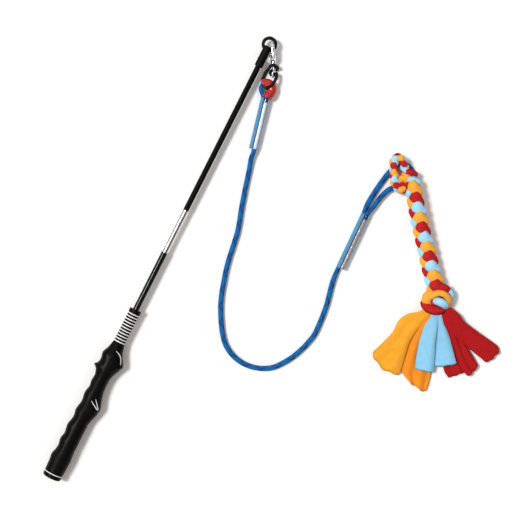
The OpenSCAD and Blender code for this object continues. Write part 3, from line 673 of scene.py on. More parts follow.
def stipple_group():
    """Fine moulded stipple of a rubber grip."""
    tree, given, out = new_group("Moulded stipple", (("Cells", "Float", 1200.0),), (("Height", "Float"),))
    dots = add(tree, "ShaderNodeTexVoronoi", {"Vector": own_place(tree), "Scale": given["Cells"]})
    wire(tree, out, {"Height": ranged(tree, dots.outputs["Distance"], 0.1, 0.55, 1.0, 0.0)})
    return tree


def drawn_group():
    """Faint lines that drawing and sliding leave along a tube."""
    tree, given, out = new_group("Drawn lines", (
        ("Smooth", "Float", 0.1), ("Dull", "Float", 0.2)),
        (("Roughness", "Float"), ("Height", "Float")))
    lines = object_noise(tree, 3000.0, 3.0, (1.0, 0.02, 1.0))
    wire(tree, out, {"Roughness": dulled(tree, given, lines), "Height": lines})
    return tree


def yarn_group():
    """Braided yarn: strands from the piece's masks, with fibres along them that add painted glints, and
    painted shade in the dips between strands.
    """
    tree, given, out = new_group("Braided yarn", (
        ("Colour", "Color", (0.5, 0.5, 0.5, 1)), ("Marker", "Color", (0.5, 0.5, 0.5, 1)),
        ("Groove", "Color", (0.1, 0.1, 0.1, 1)), ("Fibres", "Float", 2600.0)),
        (("Colour", "Color"), ("Height", "Float")))
    fibres = add(tree, "ShaderNodeTexNoise", {
        "Vector": own_place(tree), "Scale": given["Fibres"], "Detail": 2.0}).outputs[0]
    body = mixed(tree, point_share(tree, "marker"), given["Colour"], given["Marker"])
    # The fibres lift the colour by up to 2% towards white: painted glints.
    glinted_yarn = mixed(tree, ranged(tree, fibres, 0.35, 0.7, 0.0, 0.02), body, (1.0, 1.0, 1.0, 1.0))
    wire(tree, out, {
        "Colour": mixed(tree, point_share(tree, "groove"), glinted_yarn, given["Groove"]), "Height": fibres})
    return tree


def pile_group():
    """Fleece pile: soft mottling with fine fuzz, and painted shade where the piece's cut share is high."""
    tree, given, out = new_group("Fleece pile", (
        ("Colour", "Color", (0.5, 0.5, 0.5, 1)), ("Deep colour", "Color", (0.3, 0.3, 0.3, 1)),
        ("Pale colour", "Color", (0.8, 0.8, 0.8, 1)), ("Edge colour", "Color", (0.2, 0.2, 0.2, 1)),
        ("Fuzz", "Float", 1700.0)),
        (("Colour", "Color"), ("Height", "Float")))
    fuzz = add(tree, "ShaderNodeTexNoise", {
        "Vector": own_place(tree), "Scale": given["Fuzz"], "Detail": 4.0, "Roughness": 0.65}).outputs[0]
    brushed = object_noise(tree, 130.0, 3.0)
    tone = mixed(tree, ranged(tree, brushed, 0.35, 0.7, 0.0, 0.55), given["Colour"], given["Deep colour"])
    fuzzy = mixed(tree, ranged(tree, fuzz, 0.45, 0.75, 0.0, 0.6), tone, given["Pale colour"])
    # The cut share mixes in painted shade along edges and in creases.
    wire(tree, out, {
        "Colour": mixed(tree, point_share(tree, "cut"), fuzzy, given["Edge colour"]),
        "Height": sums(tree, "ADD", fuzz, sums(tree, "MULTIPLY", brushed, 0.8))})
    return tree


GROUPS = {}


def group_node(tree, maker, inputs):
    """Places a node group, which is made once."""
    if maker not in GROUPS:
        GROUPS[maker] = maker()
    return add(tree, "ShaderNodeGroup", inputs, node_tree=GROUPS[maker])


def shader_of(tree):
    """A material's Principled shader."""
    return next(node for node in tree.nodes if node.type == "BSDF_PRINCIPLED")


def new_shader(name, **sockets):
    """A material with one Principled shader, whose constant sockets are set here."""
    material = bpy.data.materials.new(name)
    material.use_nodes = True
    tree = material.node_tree
    shader = shader_of(tree)
    for key, value in sockets.items():
        shader.inputs[key.replace("_", " ").title().replace("Ior", "IOR")].default_value = value
    return material, tree, shader


def bumped(tree, shader, height, strength, distance):
    """Feeds a height to the shader's normal."""
    bump = add(tree, "ShaderNodeBump", {"Height": height, "Strength": strength, "Distance": distance})
    wire(tree, shader.inputs, {"Normal": bump.outputs[0]})


def worn_finish(name, colour, worn, smooth, dull, amount=0.3, depth=0.00004, **sockets):
    """Plastic, paint or rubber with handling marks."""
    material, tree, shader = new_shader(name, **sockets)
    wear = group_node(tree, wear_group, {
        "Colour": colour, "Worn colour": worn, "Amount": amount, "Smooth": smooth, "Dull": dull})
    wire(tree, shader.inputs, {
        "Base Color": wear.outputs["Colour"], "Roughness": wear.outputs["Roughness"]})
    if depth:
        bumped(tree, shader, wear.outputs["Height"], 0.25, depth)
    return material


def grip_finish(colour):
    """Moulded rubber with a fine stipple and a soft sheen."""
    material = worn_finish(
        "grip_rubber", colour, (0.02, 0.018, 0.017, 1), 0.34, 0.5, 0.25, depth=0, specular_ior_level=0.06)
    tree = material.node_tree
    stipple = group_node(tree, stipple_group, {"Cells": 1150.0})
    bumped(tree, shader_of(tree), stipple.outputs["Height"], 0.3, 0.00012)
    return material


def metal_finish(name, colour, smooth, dull):
    """Bright metal with fine drawn lines."""
    material, tree, shader = new_shader(name, metallic=1.0, base_color=colour)
    lines = group_node(tree, drawn_group, {"Smooth": smooth, "Dull": dull})
    wire(tree, shader.inputs, {"Roughness": lines.outputs["Roughness"]})
    bumped(tree, shader, lines.outputs["Height"], 0.08, 0.00003)
    return material


def yarn_finish(name, colour, marker, groove, roughness, gloss):
    """Braided yarn of a rope or cord."""
    material, tree, shader = new_shader(name, roughness=roughness, specular_ior_level=gloss)
    yarn = group_node(tree, yarn_group, {"Colour": colour, "Marker": marker, "Groove": groove})
    wire(tree, shader.inputs, {"Base Color": yarn.outputs["Colour"]})
    bumped(tree, shader, yarn.outputs["Height"], 0.35, 0.0002)
    return material


def shade_of(colour, factor):
    """A colour made darker, or paler above one."""
    return tuple(min(1.0, c * factor) for c in colour[:3]) + (1.0,)


def fleece_finish(name, colour, edge):
    """Brushed fleece."""
    material, tree, shader = new_shader(
        name, roughness=0.95, specular_ior_level=0.03, sheen_weight=0.12, sheen_roughness=0.5,
        sheen_tint=colour)
    pile = group_node(tree, pile_group, {
        # The edge colour is painted shade.
        "Colour": colour, "Deep colour": shade_of(colour, 0.8), "Edge colour": shade_of(colour, edge),
        "Pale colour": tuple(0.92 * c + 0.06 for c in colour[:3]) + (1.0,)})
    wire(tree, shader.inputs, {"Base Color": pile.outputs["Colour"]})
    bumped(tree, shader, pile.outputs["Height"], 0.55, 0.0006)
    return material


def clear_finish(name, tint):
    """Clear plastic with a painted band in the sleeve's tint where it stands off the rope, and a dark line
    of painted shade beside it.
    """
    material, tree, shader = new_shader(name, roughness=0.1, ior=1.48)
    # The band paints a highlight in a white tint and a shadow in a tan one, broken up by streaks.
    film = point_share(tree, "film")
    streaks = ranged(tree, object_noise(tree, 300.0, 3.0, (1.0, 0.25, 1.0)), 0.3, 0.7, 0.75, 1.0)
    streaked_painted_band = sums(tree, "MULTIPLY", film, streaks)
    # The dark line beside the band is painted shade.
    gap = point_share(tree, "gap")
    # The clear plastic's azure colour brightens the rope seen through it: a painted highlight for the
    # sleeve's gloss.
    body = mixed(tree, film, (0.3, 0.68, 0.95, 1), tint)
    solid = sums(tree, "MAXIMUM", streaked_painted_band, sums(tree, "MULTIPLY", gap, 0.95))
    wire(tree, shader.inputs, {
        "Base Color": mixed(tree, gap, body, (0.004, 0.02, 0.09, 1)),
        "Alpha": ranged(tree, solid, 0.0, 1.0, 0.2, 0.9)})
    return material


def fleece(colour_name, settings, plaited=False):
    """The fleece material of a colour, made once, for loose strips, or painted lighter for plaited strips
    and the knot.
    """
    name = f"{'plaited' if plaited else 'brushed'}_{colour_name}_fleece"
    colour = tuple(getattr(settings, colour_name))
    if plaited:
        # Plaited strips take the white that paints them lighter: painted light.
        share, white = PLAIT_PAINTED_LIGHT[colour_name]
        colour = tuple(min(1.0, share * c + white) for c in colour[:3]) + (1.0,)
    return bpy.data.materials.get(name) or fleece_finish(name, colour, PAINTED_EDGE_SHADES[colour_name])


# Line

def braid_masks(length, carriers, lead, marked):
    """Height, marker and painted shade in the dips of a round braid, over its shares along and round."""
    def phases(s, v):
        turn = carriers * s * length / lead
        return carriers * v - turn, carriers * v + turn

    def heights(s, v):
        one, two = phases(s, v)
        i, j = np.floor(one), np.floor(two)
        over = 0.5 + 0.5 * np.cos(np.pi * (two - 0.5) + np.pi * i)
        under = 0.5 - 0.5 * np.cos(np.pi * (one - 0.5) + np.pi * j)
        crown_one = 1 - (2 * (one - i) - 1) ** 2
        crown_two = 1 - (2 * (two - j) - 1) ** 2
        return crown_one * over, crown_two * under, np.mod(i, carriers), np.mod(j, carriers)

    def height(s, v):
        a, b, _, _ = heights(s, v)
        return np.sqrt(np.maximum(a, b))

    def marker(s, v):
        a, b, i, j = heights(s, v)
        return np.where(a >= b, np.isin(i, marked), np.isin(j, marked)).astype(float)

    # Painted shade in the dips between strands.
    def groove(s, v):
        return np.clip(1 - 2.2 * height(s, v), 0, 1)

    return height, {"marker": marker, "groove": groove}


def braided_tube(name, path, shares, diameter, relief, carriers, lead, marked, sides, closed=False):
    """A tube along a path with the strands of a round braid in relief."""
    height, masks = braid_masks(path_length(path), carriers, lead, marked)
    spots = np.linspace(0, 1, len(path))

    def radius(s, v):
        full = diameter / 2 * np.interp(s, spots, shares)
        return full - relief * (1 - height(s, v))

    place = wrapped(path, carried_sides(path, closed), radius, closed)
    return laid_grid(name, len(path) - 1, sides, place, masks, capped=not closed)


class FLIRT_OT_rope(bpy.types.Operator):
    """Lays the braided rope with an eye at each end"""

    bl_idname = "flirt.rope"
    bl_label = "Rope"

    def execute(self, context):
        sizes = context.scene.flirt_sizes
        colours = context.scene.flirt_colours
        rows = line_course(ROPE_ROUTE, ROPE_STEP)
        path = rows[:, :3]
        rope = braided_tube(
            "rope_braid", path, rows[:, 3], sizes.rope_diameter, sizes.rope_relief, sizes.rope_carriers,
            sizes.rope_lead, MARKED_CARRIERS, ROPE_SIDES)
        # The third colour is painted shade for the dips between strands.
        yarn = yarn_finish(
            "blue_rope", tuple(colours.rope), tuple(colours.marker), (0.001, 0.009, 0.035, 1), 0.55, 0.05)
        dress(rope, "line", yarn, "blue_rope", "rope")
        return {"FINISHED"}


class FLIRT_OT_cord_loop(bpy.types.Operator):
    """Ties the black cord loop between the snap's swivel and the rope's eye"""

    bl_idname = "flirt.cord_loop"
    bl_label = "Cord loop"

    def execute(self, context):
        diameter = context.scene.flirt_sizes.cord_diameter
        path = line_course(CORD_ROUTE, CORD_STEP, closed=True)
        length = path_length(path)
        lead = length / round(length / (CORD_LEAD * diameter))
        loop = braided_tube(
            "black_cord_loop", path, np.ones(len(path)), diameter, CORD_RELIEF, CORD_CARRIERS, lead, (),
            CORD_SIDES, closed=True)
        # The third colour is painted shade for the dips between strands.
        yarn = yarn_finish(
            "black_cord", (0.003, 0.003, 0.0035, 1), (0.004, 0.004, 0.004, 1), (0.001, 0.001, 0.001, 1),
            0.5, 0.06)
        dress(loop, None, yarn, "black_cord", "cord_loop")
        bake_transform(loop)
        return {"FINISHED"}


def piped(path, side, outline, wall):
    """Places a grid on a pipe round a path: along the outside, over the end and back along the inside."""
    def place(s, v):
        inset = wall * np.interp(s, PIPE_STOPS, (0, 0, 1, 1, 0))
        along = np.interp(s, PIPE_STOPS, (0, 1, 1, 0, 0))
        return wrapped(path, side, lambda t, w: outline(t, w) - inset)(along, v)

    return place


def round_two(s, v):
    """Radius of a sleeve that is drawn tight round two strands, at a share of a turn from the upper one."""
    across, level = np.abs(np.sin(2 * np.pi * v)), np.abs(np.cos(2 * np.pi * v))
    flat = SLEEVE_RADIUS / np.maximum(across, 1e-6)
    cap = STRAND_SIDE * level + np.sqrt(np.maximum(SLEEVE_RADIUS**2 - (STRAND_SIDE * across) ** 2, 0))
    return np.where(flat * level <= STRAND_SIDE, flat, cap) * MM


def film(s, v):
    """Share of the painted band along the top of the upper strand: highlight on the tip sleeve, shadow on
    the lure sleeve.
    """
    start, soft = PAINTED_BAND_START
    shown = eased((np.interp(s, PIPE_STOPS, (0, 1, 1, 0, 0)) - start) / soft)
    return eased((PAINTED_BAND_HALF - np.abs(v - PAINTED_BAND_MIDDLE)) / PAINTED_BAND_EDGE) * shown


def gap(s, v):
    """Share of the dark line of painted shade beside the painted band, where the strands part."""
    return np.clip(eased((PAINTED_GAP_HALF - np.abs(v - PAINTED_BAND_MIDDLE)) / PAINTED_BAND_EDGE) - film(s, v), 0, 1)


class FLIRT_OT_sleeves(bpy.types.Operator):
    """Slips the red tube and the two clear sleeves over the rope"""

    bl_idname = "flirt.sleeves"
    bl_label = "Sleeves"

    def execute(self, context):
        colour = tuple(context.scene.flirt_colours.eye_tube)
        red = worn_finish("red_tube", colour, shade_of(colour, 1.5), 0.2, 0.34, 0.25, coat_weight=0.2)
        rope = line_course(ROPE_ROUTE, ROPE_STEP)[:, :3]
        first, last = (
            np.argmin(np.linalg.norm(rope - np.array(ROPE_ROUTE[k][:3]) * MM - LINE_ORIGIN, axis=1))
            for k in EYE_TUBE_SPAN)
        path = rope[first:last + 1]
        place = piped(path, carried_sides(path), even(EYE_TUBE_RADIUS * MM), EYE_TUBE_WALL * MM)
        tube = laid_grid("red_eye_tube", *EYE_TUBE_GRID, place)
        dress(tube, "line", red, "red_tube", "rope_eye_tube")
        for name, (start, end, tint) in SLEEVES.items():
            path = line_course([start, end], SLEEVE_STEP)
            side = level_sides(path) + unit(np.cross(level_sides(path), headings(path)))
            place = piped(path, unit(side), round_two, SLEEVE_WALL * MM)
            sleeve = laid_grid("clear_" + name, *SLEEVE_GRID, place, {"film": film, "gap": gap})
            dress(sleeve, "line", clear_finish("clear_" + name, tint), "clear_sleeve", name)
        return {"FINISHED"}


# Pole

def grip_radii(rows, sides):
    """Radius of the grip's solid at each station along it and each angle round it, smoothed."""
    bm = bmesh.new()
    bm.from_mesh(NODES["grip"].data)
    tree = BVHTree.FromBMesh(bm)
    bm.free()
    reach = GRIP_HIGH.x * 3
    margin = 0.0001
    radii = np.zeros((rows, sides))
    for i, y in enumerate(np.linspace(GRIP_LOW.y + margin, GRIP_HIGH.y - margin, rows)):
        for j in range(sides):
            a = 2 * math.pi * j / sides
            out = Vector((math.cos(a), 0, math.sin(a)))
            start = Vector((0, y, 0)) + out * reach
            hit = tree.ray_cast(start, -out)[0]
            radii[i, j] = (hit - Vector((0, y, 0))).length
    ends = radii[[0, -1]].copy()
    for _ in range(3):
        radii = (np.roll(radii, 1, 1) + 2 * radii + np.roll(radii, -1, 1)) / 4
    radii[1:-1] = (radii[:-2] + 2 * radii[1:-1] + radii[2:]) / 4
    radii[[0, -1]] = ends
    return radii


def grip_place(radii):
    """Places a grid on the grip, with the thumb rests' edges standing proud."""
    rows, sides = radii.shape

    def rest_edge(y, a, top, right):
        edge = right + (top - right) * np.sin(np.clip(a, 0, np.pi)) ** 2
        off = (a - THUMB_MIDDLE) / THUMB_SPREAD
        shown = np.clip(np.cos(off * np.pi / 2), 0, 1) * (np.abs(off) < 1)
        fade = eased((edge + THUMB_REACH - y) / THUMB_FADE)
        return THUMB_RISE * shown * eased((y - edge) / THUMB_STEP) * fade

    def place(s, v):
        at = s * (rows - 1)
        i = np.minimum(at.astype(int), rows - 2)
        f = at - i
        across = v * sides
        j = np.floor(across).astype(int)
        g = across - j
        j0, j1 = j % sides, (j + 1) % sides
        near = radii[i, j0] * (1 - g) + radii[i, j1] * g
        far = radii[i + 1, j0] * (1 - g) + radii[i + 1, j1] * g
        r = near * (1 - f) + far * f
        y = GRIP_LOW.y + s * (GRIP_HIGH.y - GRIP_LOW.y)
        turn = 2 * np.pi * v
        a = np.mod(turn + np.pi / 2, 2 * np.pi) - np.pi / 2
        for top, right in THUMB_RESTS:
            r = r + rest_edge(y, a, top, right)
        off = np.abs(np.mod(turn, 2 * np.pi) - np.pi)
        for centre, rise, reach in GRIP_SWELLS:
            r = r + rise * MM * np.exp(-((y / MM - centre) / reach) ** 2) * eased(1.6 - off / 0.9)
        return np.stack([r * np.cos(turn), y, r * np.sin(turn)], axis=1)

    return place


def laid_on(piece, x, y, lift):
    """Points on top of a piece, lifted off it."""
    tree = BVHTree.FromObject(piece, bpy.context.evaluated_depsgraph_get())
    down = Vector((0, 0, -1))
    spots = []
    for across, along in zip(x, y):
        spot, normal, _, _ = tree.ray_cast(Vector((across, along, 0.1)), down)
        if spot is None:
            raise RuntimeError("a stroke leaves the grip")
        spots.append(spot + normal * lift)
    return np.array(spots)


class FLIRT_OT_handle(bpy.types.Operator):
    """Moulds the grip with its strokes, and finishes the cap and the collar"""

    bl_idname = "flirt.handle"
    bl_label = "Handle"

    def execute(self, context):
        rubber = grip_finish(tuple(context.scene.flirt_colours.rubber))
        place = grip_place(grip_radii(GRIP_ROWS, GRIP_SIDES))
        grip = laid_grid("moulded_grip", GRIP_ROWS - 1, GRIP_SIDES, place, capped=True)
        dress(grip, "handle", rubber, "grip_rubber", "grip")
        white = worn_finish("white_print", (0.8, 0.8, 0.8, 1), (0.5, 0.5, 0.5, 1), 0.45, 0.65, 0.3)
        bm = bmesh.new()
        for points in GRIP_STROKES:
            rows = course([(x, y, 0, width) for x, y, width in points], PRINT_STEP)
            self.stroke(bm, grip, rows * MM)
        marks = new_piece(bm, "grip_strokes")
        finish_with(marks, "SOLIDIFY", "Print", thickness=PRINT_THICKNESS, offset=1.0)
        dress(marks, "handle", white, "white_print", "grip_marks")
        for name in ("butt_cap", "ribbed_collar"):
            paint_node(name, rubber)
        paint_node("butt_ring", white)
        self.bands(white)
        return {"FINISHED"}

    def bands(self, finish):
        """The collar's white bands, a little narrower than their grooves."""
        bm = bmesh.new()
        bm.from_mesh(NODES["collar_bands"].data)
        bmesh.ops.remove_doubles(bm, verts=bm.verts[:], dist=WELD)
        low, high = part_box("collar_bands")
        pitch = (high.y - low.y - BAND_WIDTH * MM) / (BAND_COUNT - 1)
        first = low.y + BAND_WIDTH * MM / 2
        for vert in bm.verts:
            middle = first + round((vert.co.y - first) / pitch) * pitch
            vert.co.y = middle + (vert.co.y - middle) * BAND_SHARE
        bands = new_piece(bm, "white_bands")
        bands.data.shade_flat()
        dress(bands, "handle", finish, "white_print", "collar_bands")

    def stroke(self, bm, grip, rows):
        """A curved stroke that lies on the grip and narrows at its ends."""
        made = bmesh.ops.create_grid(bm, x_segments=len(rows) - 1, y_segments=3, size=0.5)["verts"]
        shares = np.array([vert.co[:2] for vert in made]) + 0.5
        heading = headings(rows[:, :3])
        i = np.rint(shares[:, 0] * (len(rows) - 1)).astype(int)
        across = np.stack([-heading[i, 1], heading[i, 0]], axis=1)
        taper = np.sqrt(np.clip(1 - (2 * shares[:, 0] - 1) ** 8, 0.04, 1))
        half = rows[i, 3] * taper * (shares[:, 1] - 0.5)
        spots = rows[i, :2] + across * half[:, None]
        for vert, spot in zip(made, laid_on(grip, spots[:, 0], spots[:, 1], PRINT_LIFT)):
            vert.co = spot


class FLIRT_OT_tubes(bpy.types.Operator):
    """Finishes the pole's tubes, sleeves and tip"""

    bl_idname = "flirt.tubes"
    bl_label = "Tubes"

    def execute(self, context):
        gloss = worn_finish(
            "gloss_black_tube", (0.003, 0.0026, 0.0024, 1), (0.02, 0.02, 0.02, 1), 0.05, 0.1, 0.15,
            0.000004, specular_ior_level=0.16)
        matt = worn_finish(
            "matt_black_sleeve", (0.0025, 0.0023, 0.0022, 1), (0.012, 0.012, 0.012, 1), 0.42, 0.6,
            specular_ior_level=0.05)
        tip = worn_finish(
            "tip_rubber", (0.003, 0.0028, 0.0027, 1), (0.015, 0.015, 0.015, 1), 0.4, 0.6,
            specular_ior_level=0.07)
        guide = worn_finish("guide_plastic", (0.045, 0.045, 0.048, 1), (0.1, 0.1, 0.1, 1), 0.4, 0.6)
        chrome = metal_finish("polished_tube", (0.44, 0.4, 0.38, 1), 0.22, 0.32)
        for name, finish in (
                ("lower_shaft", gloss), ("guide_bush", guide), ("tube_stop", guide), ("inner_tube", chrome),
                ("upper_sleeve", matt), ("tip_sleeve", tip), ("tip_cap", tip)):
            paint_node(name, finish)
        return {"FINISHED"}


class FLIRT_OT_snap(bpy.types.Operator):
    """Finishes the split ring and the bolt snap"""

    bl_idname = "flirt.snap"
    bl_label = "Ring and snap"

    def execute(self, context):
        ring = worn_finish(
            "black_ring", (0.003, 0.003, 0.003, 1), (0.02, 0.02, 0.02, 1), 0.22, 0.4,
            specular_ior_level=0.14)
        self.split_ring(ring)
        chrome = metal_finish("snap_chrome", (0.85, 0.85, 0.86, 1), 0.06, 0.22)
        steel = metal_finish("spring_steel", (0.5, 0.5, 0.52, 1), 0.2, 0.4)
        for name in ("snap_body", "snap_bolt", "swivel_eye"):
            paint_node(name, chrome)
        self.spring(steel)
        return {"FINISHED"}

    def spring(self, finish):
        """A coil behind the bolt, on a mesh of its own."""
        swivel = joint_entry("swivel_turn")
        pivot, axis = Vector(swivel["pos_m"]), Vector(swivel["axis"]).normalized()
        spots = np.array([vert.co - pivot for vert in NODES["bolt_spring"].data.vertices])
        along = spots @ np.array(axis)
        half = SPRING_WIRE * MM / 2
        reach = np.linalg.norm(spots - np.outer(along, axis), axis=1).max() - half
        share = np.linspace(0, 1, SPRING_STEPS * SPRING_TURNS + 1)[:, None]
        turn = 2 * np.pi * SPRING_TURNS * share
        across = np.cross(axis, (0, 0, 1))
        low, high = along.min() + half, along.max() - half
        path = (low + (high - low) * share) * np.array(axis) + np.array(pivot)
        path = path + reach * (np.cos(turn) * across + np.sin(turn) * np.array((0, 0, 1)))
        place = wrapped(path, carried_sides(path), even(half))
        coil = laid_grid("wound_spring", len(path) - 1, SPRING_SIDES, place, capped=True)
        dress(coil, "line", finish, "spring_steel", "bolt_spring")
        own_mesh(coil)

    def split_ring(self, finish):
        """Two turns of flat wire, one on the other, with a step where they swap."""
        turn = np.linspace(0, 2 * RING_TURNS * np.pi, RING_STEPS)
        share = turn / turn[-1]
        height = RING_WIRE[1] * (eased((share - 0.46) / 0.08) - 0.5)
        mean = RING_RADIUS - RING_WIRE[0] / 2
        turn = turn + RING_START
        path = np.stack([mean * np.cos(turn), mean * np.sin(turn), height], axis=1) * MM + RING_CENTRE
        half = np.array(RING_WIRE) / 2 * MM

        def radius(s, v):
            a = 2 * np.pi * v
            flat = (np.abs(np.cos(a)) ** 6 + np.abs(np.sin(a)) ** 6) ** (-1 / 6)
            return np.outer(flat, half[::-1]) * (0.55 + 0.45 * eased(np.minimum(s, 1 - s) / 0.008))[:, None]

        place = wrapped(path, level_sides(path), radius)
        ring = laid_grid("wound_split_ring", RING_STEPS - 1, RING_SIDES, place, capped=True)
        dress(ring, "ring", finish, "black_ring", "split_ring")


# Lure

def plait_path(path, pitch, strand, offset, tilt, swell=(1.0, 1.0)):
    """The course of one of three plaited strips along a path, the way it faces, and its half width."""
    along = np.concatenate([[0], np.cumsum(np.linalg.norm(np.diff(path, axis=0), axis=1))])
    turn = (2 * np.pi / 3 * (along / pitch - strand + offset) - np.pi / 4)[:, None]
    up = level_sides(path)
    right = np.cross(up, headings(path))
    c, s = math.cos(tilt), math.sin(tilt)
    right, up = c * right + s * up, c * up - s * right
    grow = pitch * np.linspace(*swell, len(path))[:, None]
    line = path + grow * (PLAIT_SWAY * np.cos(turn) * right - PLAIT_RISE * np.sin(2 * turn) * up)
    face = 0.45 * PLAIT_SWAY * right - 2 * PLAIT_RISE * np.sin(turn) * up
    half = pitch * PLAIT_WIDTH * (1 + 0.15 * np.cos(2 * turn + np.pi / 2))
    return line, unit(face), half[:, 0]


def fleece_strand(name, path, above, thick, wide, seed, sides=36, swell=(1.0, 1.0)):
    """A folded strip of fleece along a path, with a crease along it, uneven swelling, and painted shade
    along its sides where it meets its neighbours.
    """
    waves = [(7 + seed, 1, seed), (13, 2, 2 * seed), (5, 3, seed + 1), (23, 1, seed + 2)]
    heading = headings(path)
    side = unit(above - (above * heading).sum(1, keepdims=True) * heading)
    spots = np.linspace(0, 1, len(path))
    widths = np.broadcast_to(wide, len(path))

    def radius(s, v):
        fold = 0.08 * np.exp(-((np.mod(v - 0.3 - 0.9 * s + 0.17 * seed, 1) - 0.5) / 0.035) ** 2)
        size = np.interp(s, (0, 1), swell) * (1 + 0.05 * ripple(s, v, waves) - fold)
        size = size * np.sqrt(np.clip(np.minimum(s, 1 - s) / 0.02, 0.05, 1))
        return np.stack([thick * size, np.interp(s, spots, widths) * size], axis=1)

    # Painted shade in the creases where a strip meets its neighbours, held in the cut share.
    def crease(s, v):
        return 0.55 * np.abs(np.sin(2 * np.pi * v)) ** 8

    return laid_grid(name, len(path) - 1, sides, wrapped(path, side, radius), {"cut": crease}, capped=True)


def lure_point(right, down, up):
    """A place in the frame from millimetres to the right, down and up from the knot's middle."""
    reach = (BRAID_LENGTH + KNOT_LENGTH / 4) * MM
    right, down, up = (np.asarray(value, float) * MM for value in (right, down, up))
    x = LURE_START[0] * MM + reach * math.cos(LURE_TURN)
    y = LURE_START[1] * MM + reach * math.sin(LURE_TURN)
    c, s = math.cos(TAIL_TURN), math.sin(TAIL_TURN)
    return np.stack([x + down * c - right * s, y + down * s + right * c, up], axis=-1) + LINE_ORIGIN


def loop_course(route, step):
    """A course from shares of the loop's size and height to metres in the frame."""
    x, y = LURE_START
    return line_course([(x + LOOP_SIZE * a, y + LOOP_SIZE * b, LOOP_HEIGHT * c) for a, b, c in route], step)


def dress_fleece(piece, colour, colours, node, plaited=True):
    """Gives a piece of the lure its fleece."""
    return dress(piece, "lure", fleece(colour, colours, plaited), FLEECE_SLOTS[colour], node)


def plait(name, order, node, path, pitch, thick, offset, tilt, colours, sides=36, swell=(1.0, 1.0)):
    """Plaits three strips along a path."""
    for strand, colour in enumerate(order):
        line, out, half = plait_path(path, pitch, strand, offset, tilt, swell)
        piece = fleece_strand(name + colour, line, out, thick, half, strand, sides, swell)
        dress_fleece(piece, colour, colours, node)


class FLIRT_OT_lure(bpy.types.Operator):
    """Plaits the lure's braid and its loop"""

    bl_idname = "flirt.lure"
    bl_label = "Lure braid"

    def execute(self, context):
        sizes = context.scene.flirt_sizes
        colours = context.scene.flirt_colours
        way = np.array((math.cos(LURE_TURN), math.sin(LURE_TURN)))
        aside = np.array((way[1], -way[0]))
        spine = [
            tuple(np.array(LURE_START) + way * stop + aside * bow) + (height,)
            for stop, bow, height in zip(BRAID_STOPS, BRAID_BOW, BRAID_HEIGHTS)]
        plait(
            "braid_", PLAIT_ORDER, "lure_braid", line_course(spine, BRAID_STEP), sizes.braid_pitch,
            sizes.braid_strand, BRAID_OFFSET, BRAID_TURN, colours, swell=BRAID_SWELL)
        ring = loop_course([(x, y, 1) for x, y in LOOP_ROUTE], LOOP_STEP)
        plait(
            "loop_", LOOP_ORDER, "lure_loop", ring, sizes.loop_pitch, sizes.loop_strand, LOOP_OFFSET,
            LOOP_TURN, colours, LOOP_SIDES)
        strip = loop_course(TIE_ROUTE, TIE_STEP)
        side = level_sides(strip, (1, 1, 0))
        tie = fleece_strand("loop_tie_strip", strip, side, *TIE_HALF, TIE_SEED, TIE_SIDES)
        dress_fleece(tie, "orange", colours, "lure_loop_tie", plaited=False)
        return {"FINISHED"}


class FLIRT_OT_knot(bpy.types.Operator):
    """Ties the knot under the braid and tucks in the loop's end"""

    bl_idname = "flirt.knot"
    bl_label = "Lure knot"

    def execute(self, context):
        strips = (("knot_turn_", "lure_knot", KNOT_TURNS), ("loop_tuck_", "lure_loop", LOOP_TUCKS))
        for name, node, turns in strips:
            for number, (colour, half, points) in enumerate(turns):
                path = course(lure_point(*np.array(points, float).T), KNOT_STEP)
                piece = fleece_strand(
                    f"{name}{number + 1}", path, carried_sides(path), half * MM, half * KNOT_SPREAD * MM,
                    number)
                dress_fleece(piece, colour, context.scene.flirt_colours, node)
        return {"FINISHED"}


def painted_edge_shade(s, v):
    """Share of painted shade along a tail's sides and tip."""
    aside = np.minimum(v, 1 - v) / 0.05
    return 0.8 * (1 - eased(np.minimum(aside, (1 - s) / 0.03)))


def tail_edge(points):
    """An edge of a tail as even steps on a smooth curve."""
    return course([point + (0.0,) for point in points], TAIL_STEP)[:, :2]


def edge_at(edge, share):
    """Places on an edge at these shares of its length."""
    spots = np.linspace(0, 1, len(edge))
    return np.stack([np.interp(share, spots, edge[:, k]) for k in range(2)], axis=1)


def tail_place(left, right, layer, arch, folds, tip):
    """Places a grid on a tail that leaves the knot, comes down to its layer and lies in soft folds."""
    left, right = tail_edge(left), tail_edge(right)
    count, depth, phase = folds
    bulge, corner, wave, lift = tip
    ahead = unit(unit(left[-1] - left[-6]) + unit(right[-1] - right[-6]))

    def place(s, v):
        start, end = edge_at(left, s), edge_at(right, s)
        off = np.abs(2 * v - 1)
        cut = bulge * (1 - off**2) - corner * off**9 + wave * np.sin(2 * np.pi * (2.3 * v + phase))
        spot = start + (end - start) * v[:, None] + ahead * (cut * s**5)[:, None]
        crown = arch * (0.5 + 0.5 * eased(2 * s)) * (1 - off**3.2)
        ridges = depth * eased(2.5 * s) * (1 + np.sin(2 * np.pi * (count * v + phase + 0.15 * s)))
        rest = layer * TAIL_LAYER + TAIL_LOW + lift * s**3
        drop = (TAIL_ROOT - rest) * (1 - eased(s / 0.62))
        return lure_point(spot[:, 0], spot[:, 1], rest + drop + crown + ridges)

    return place


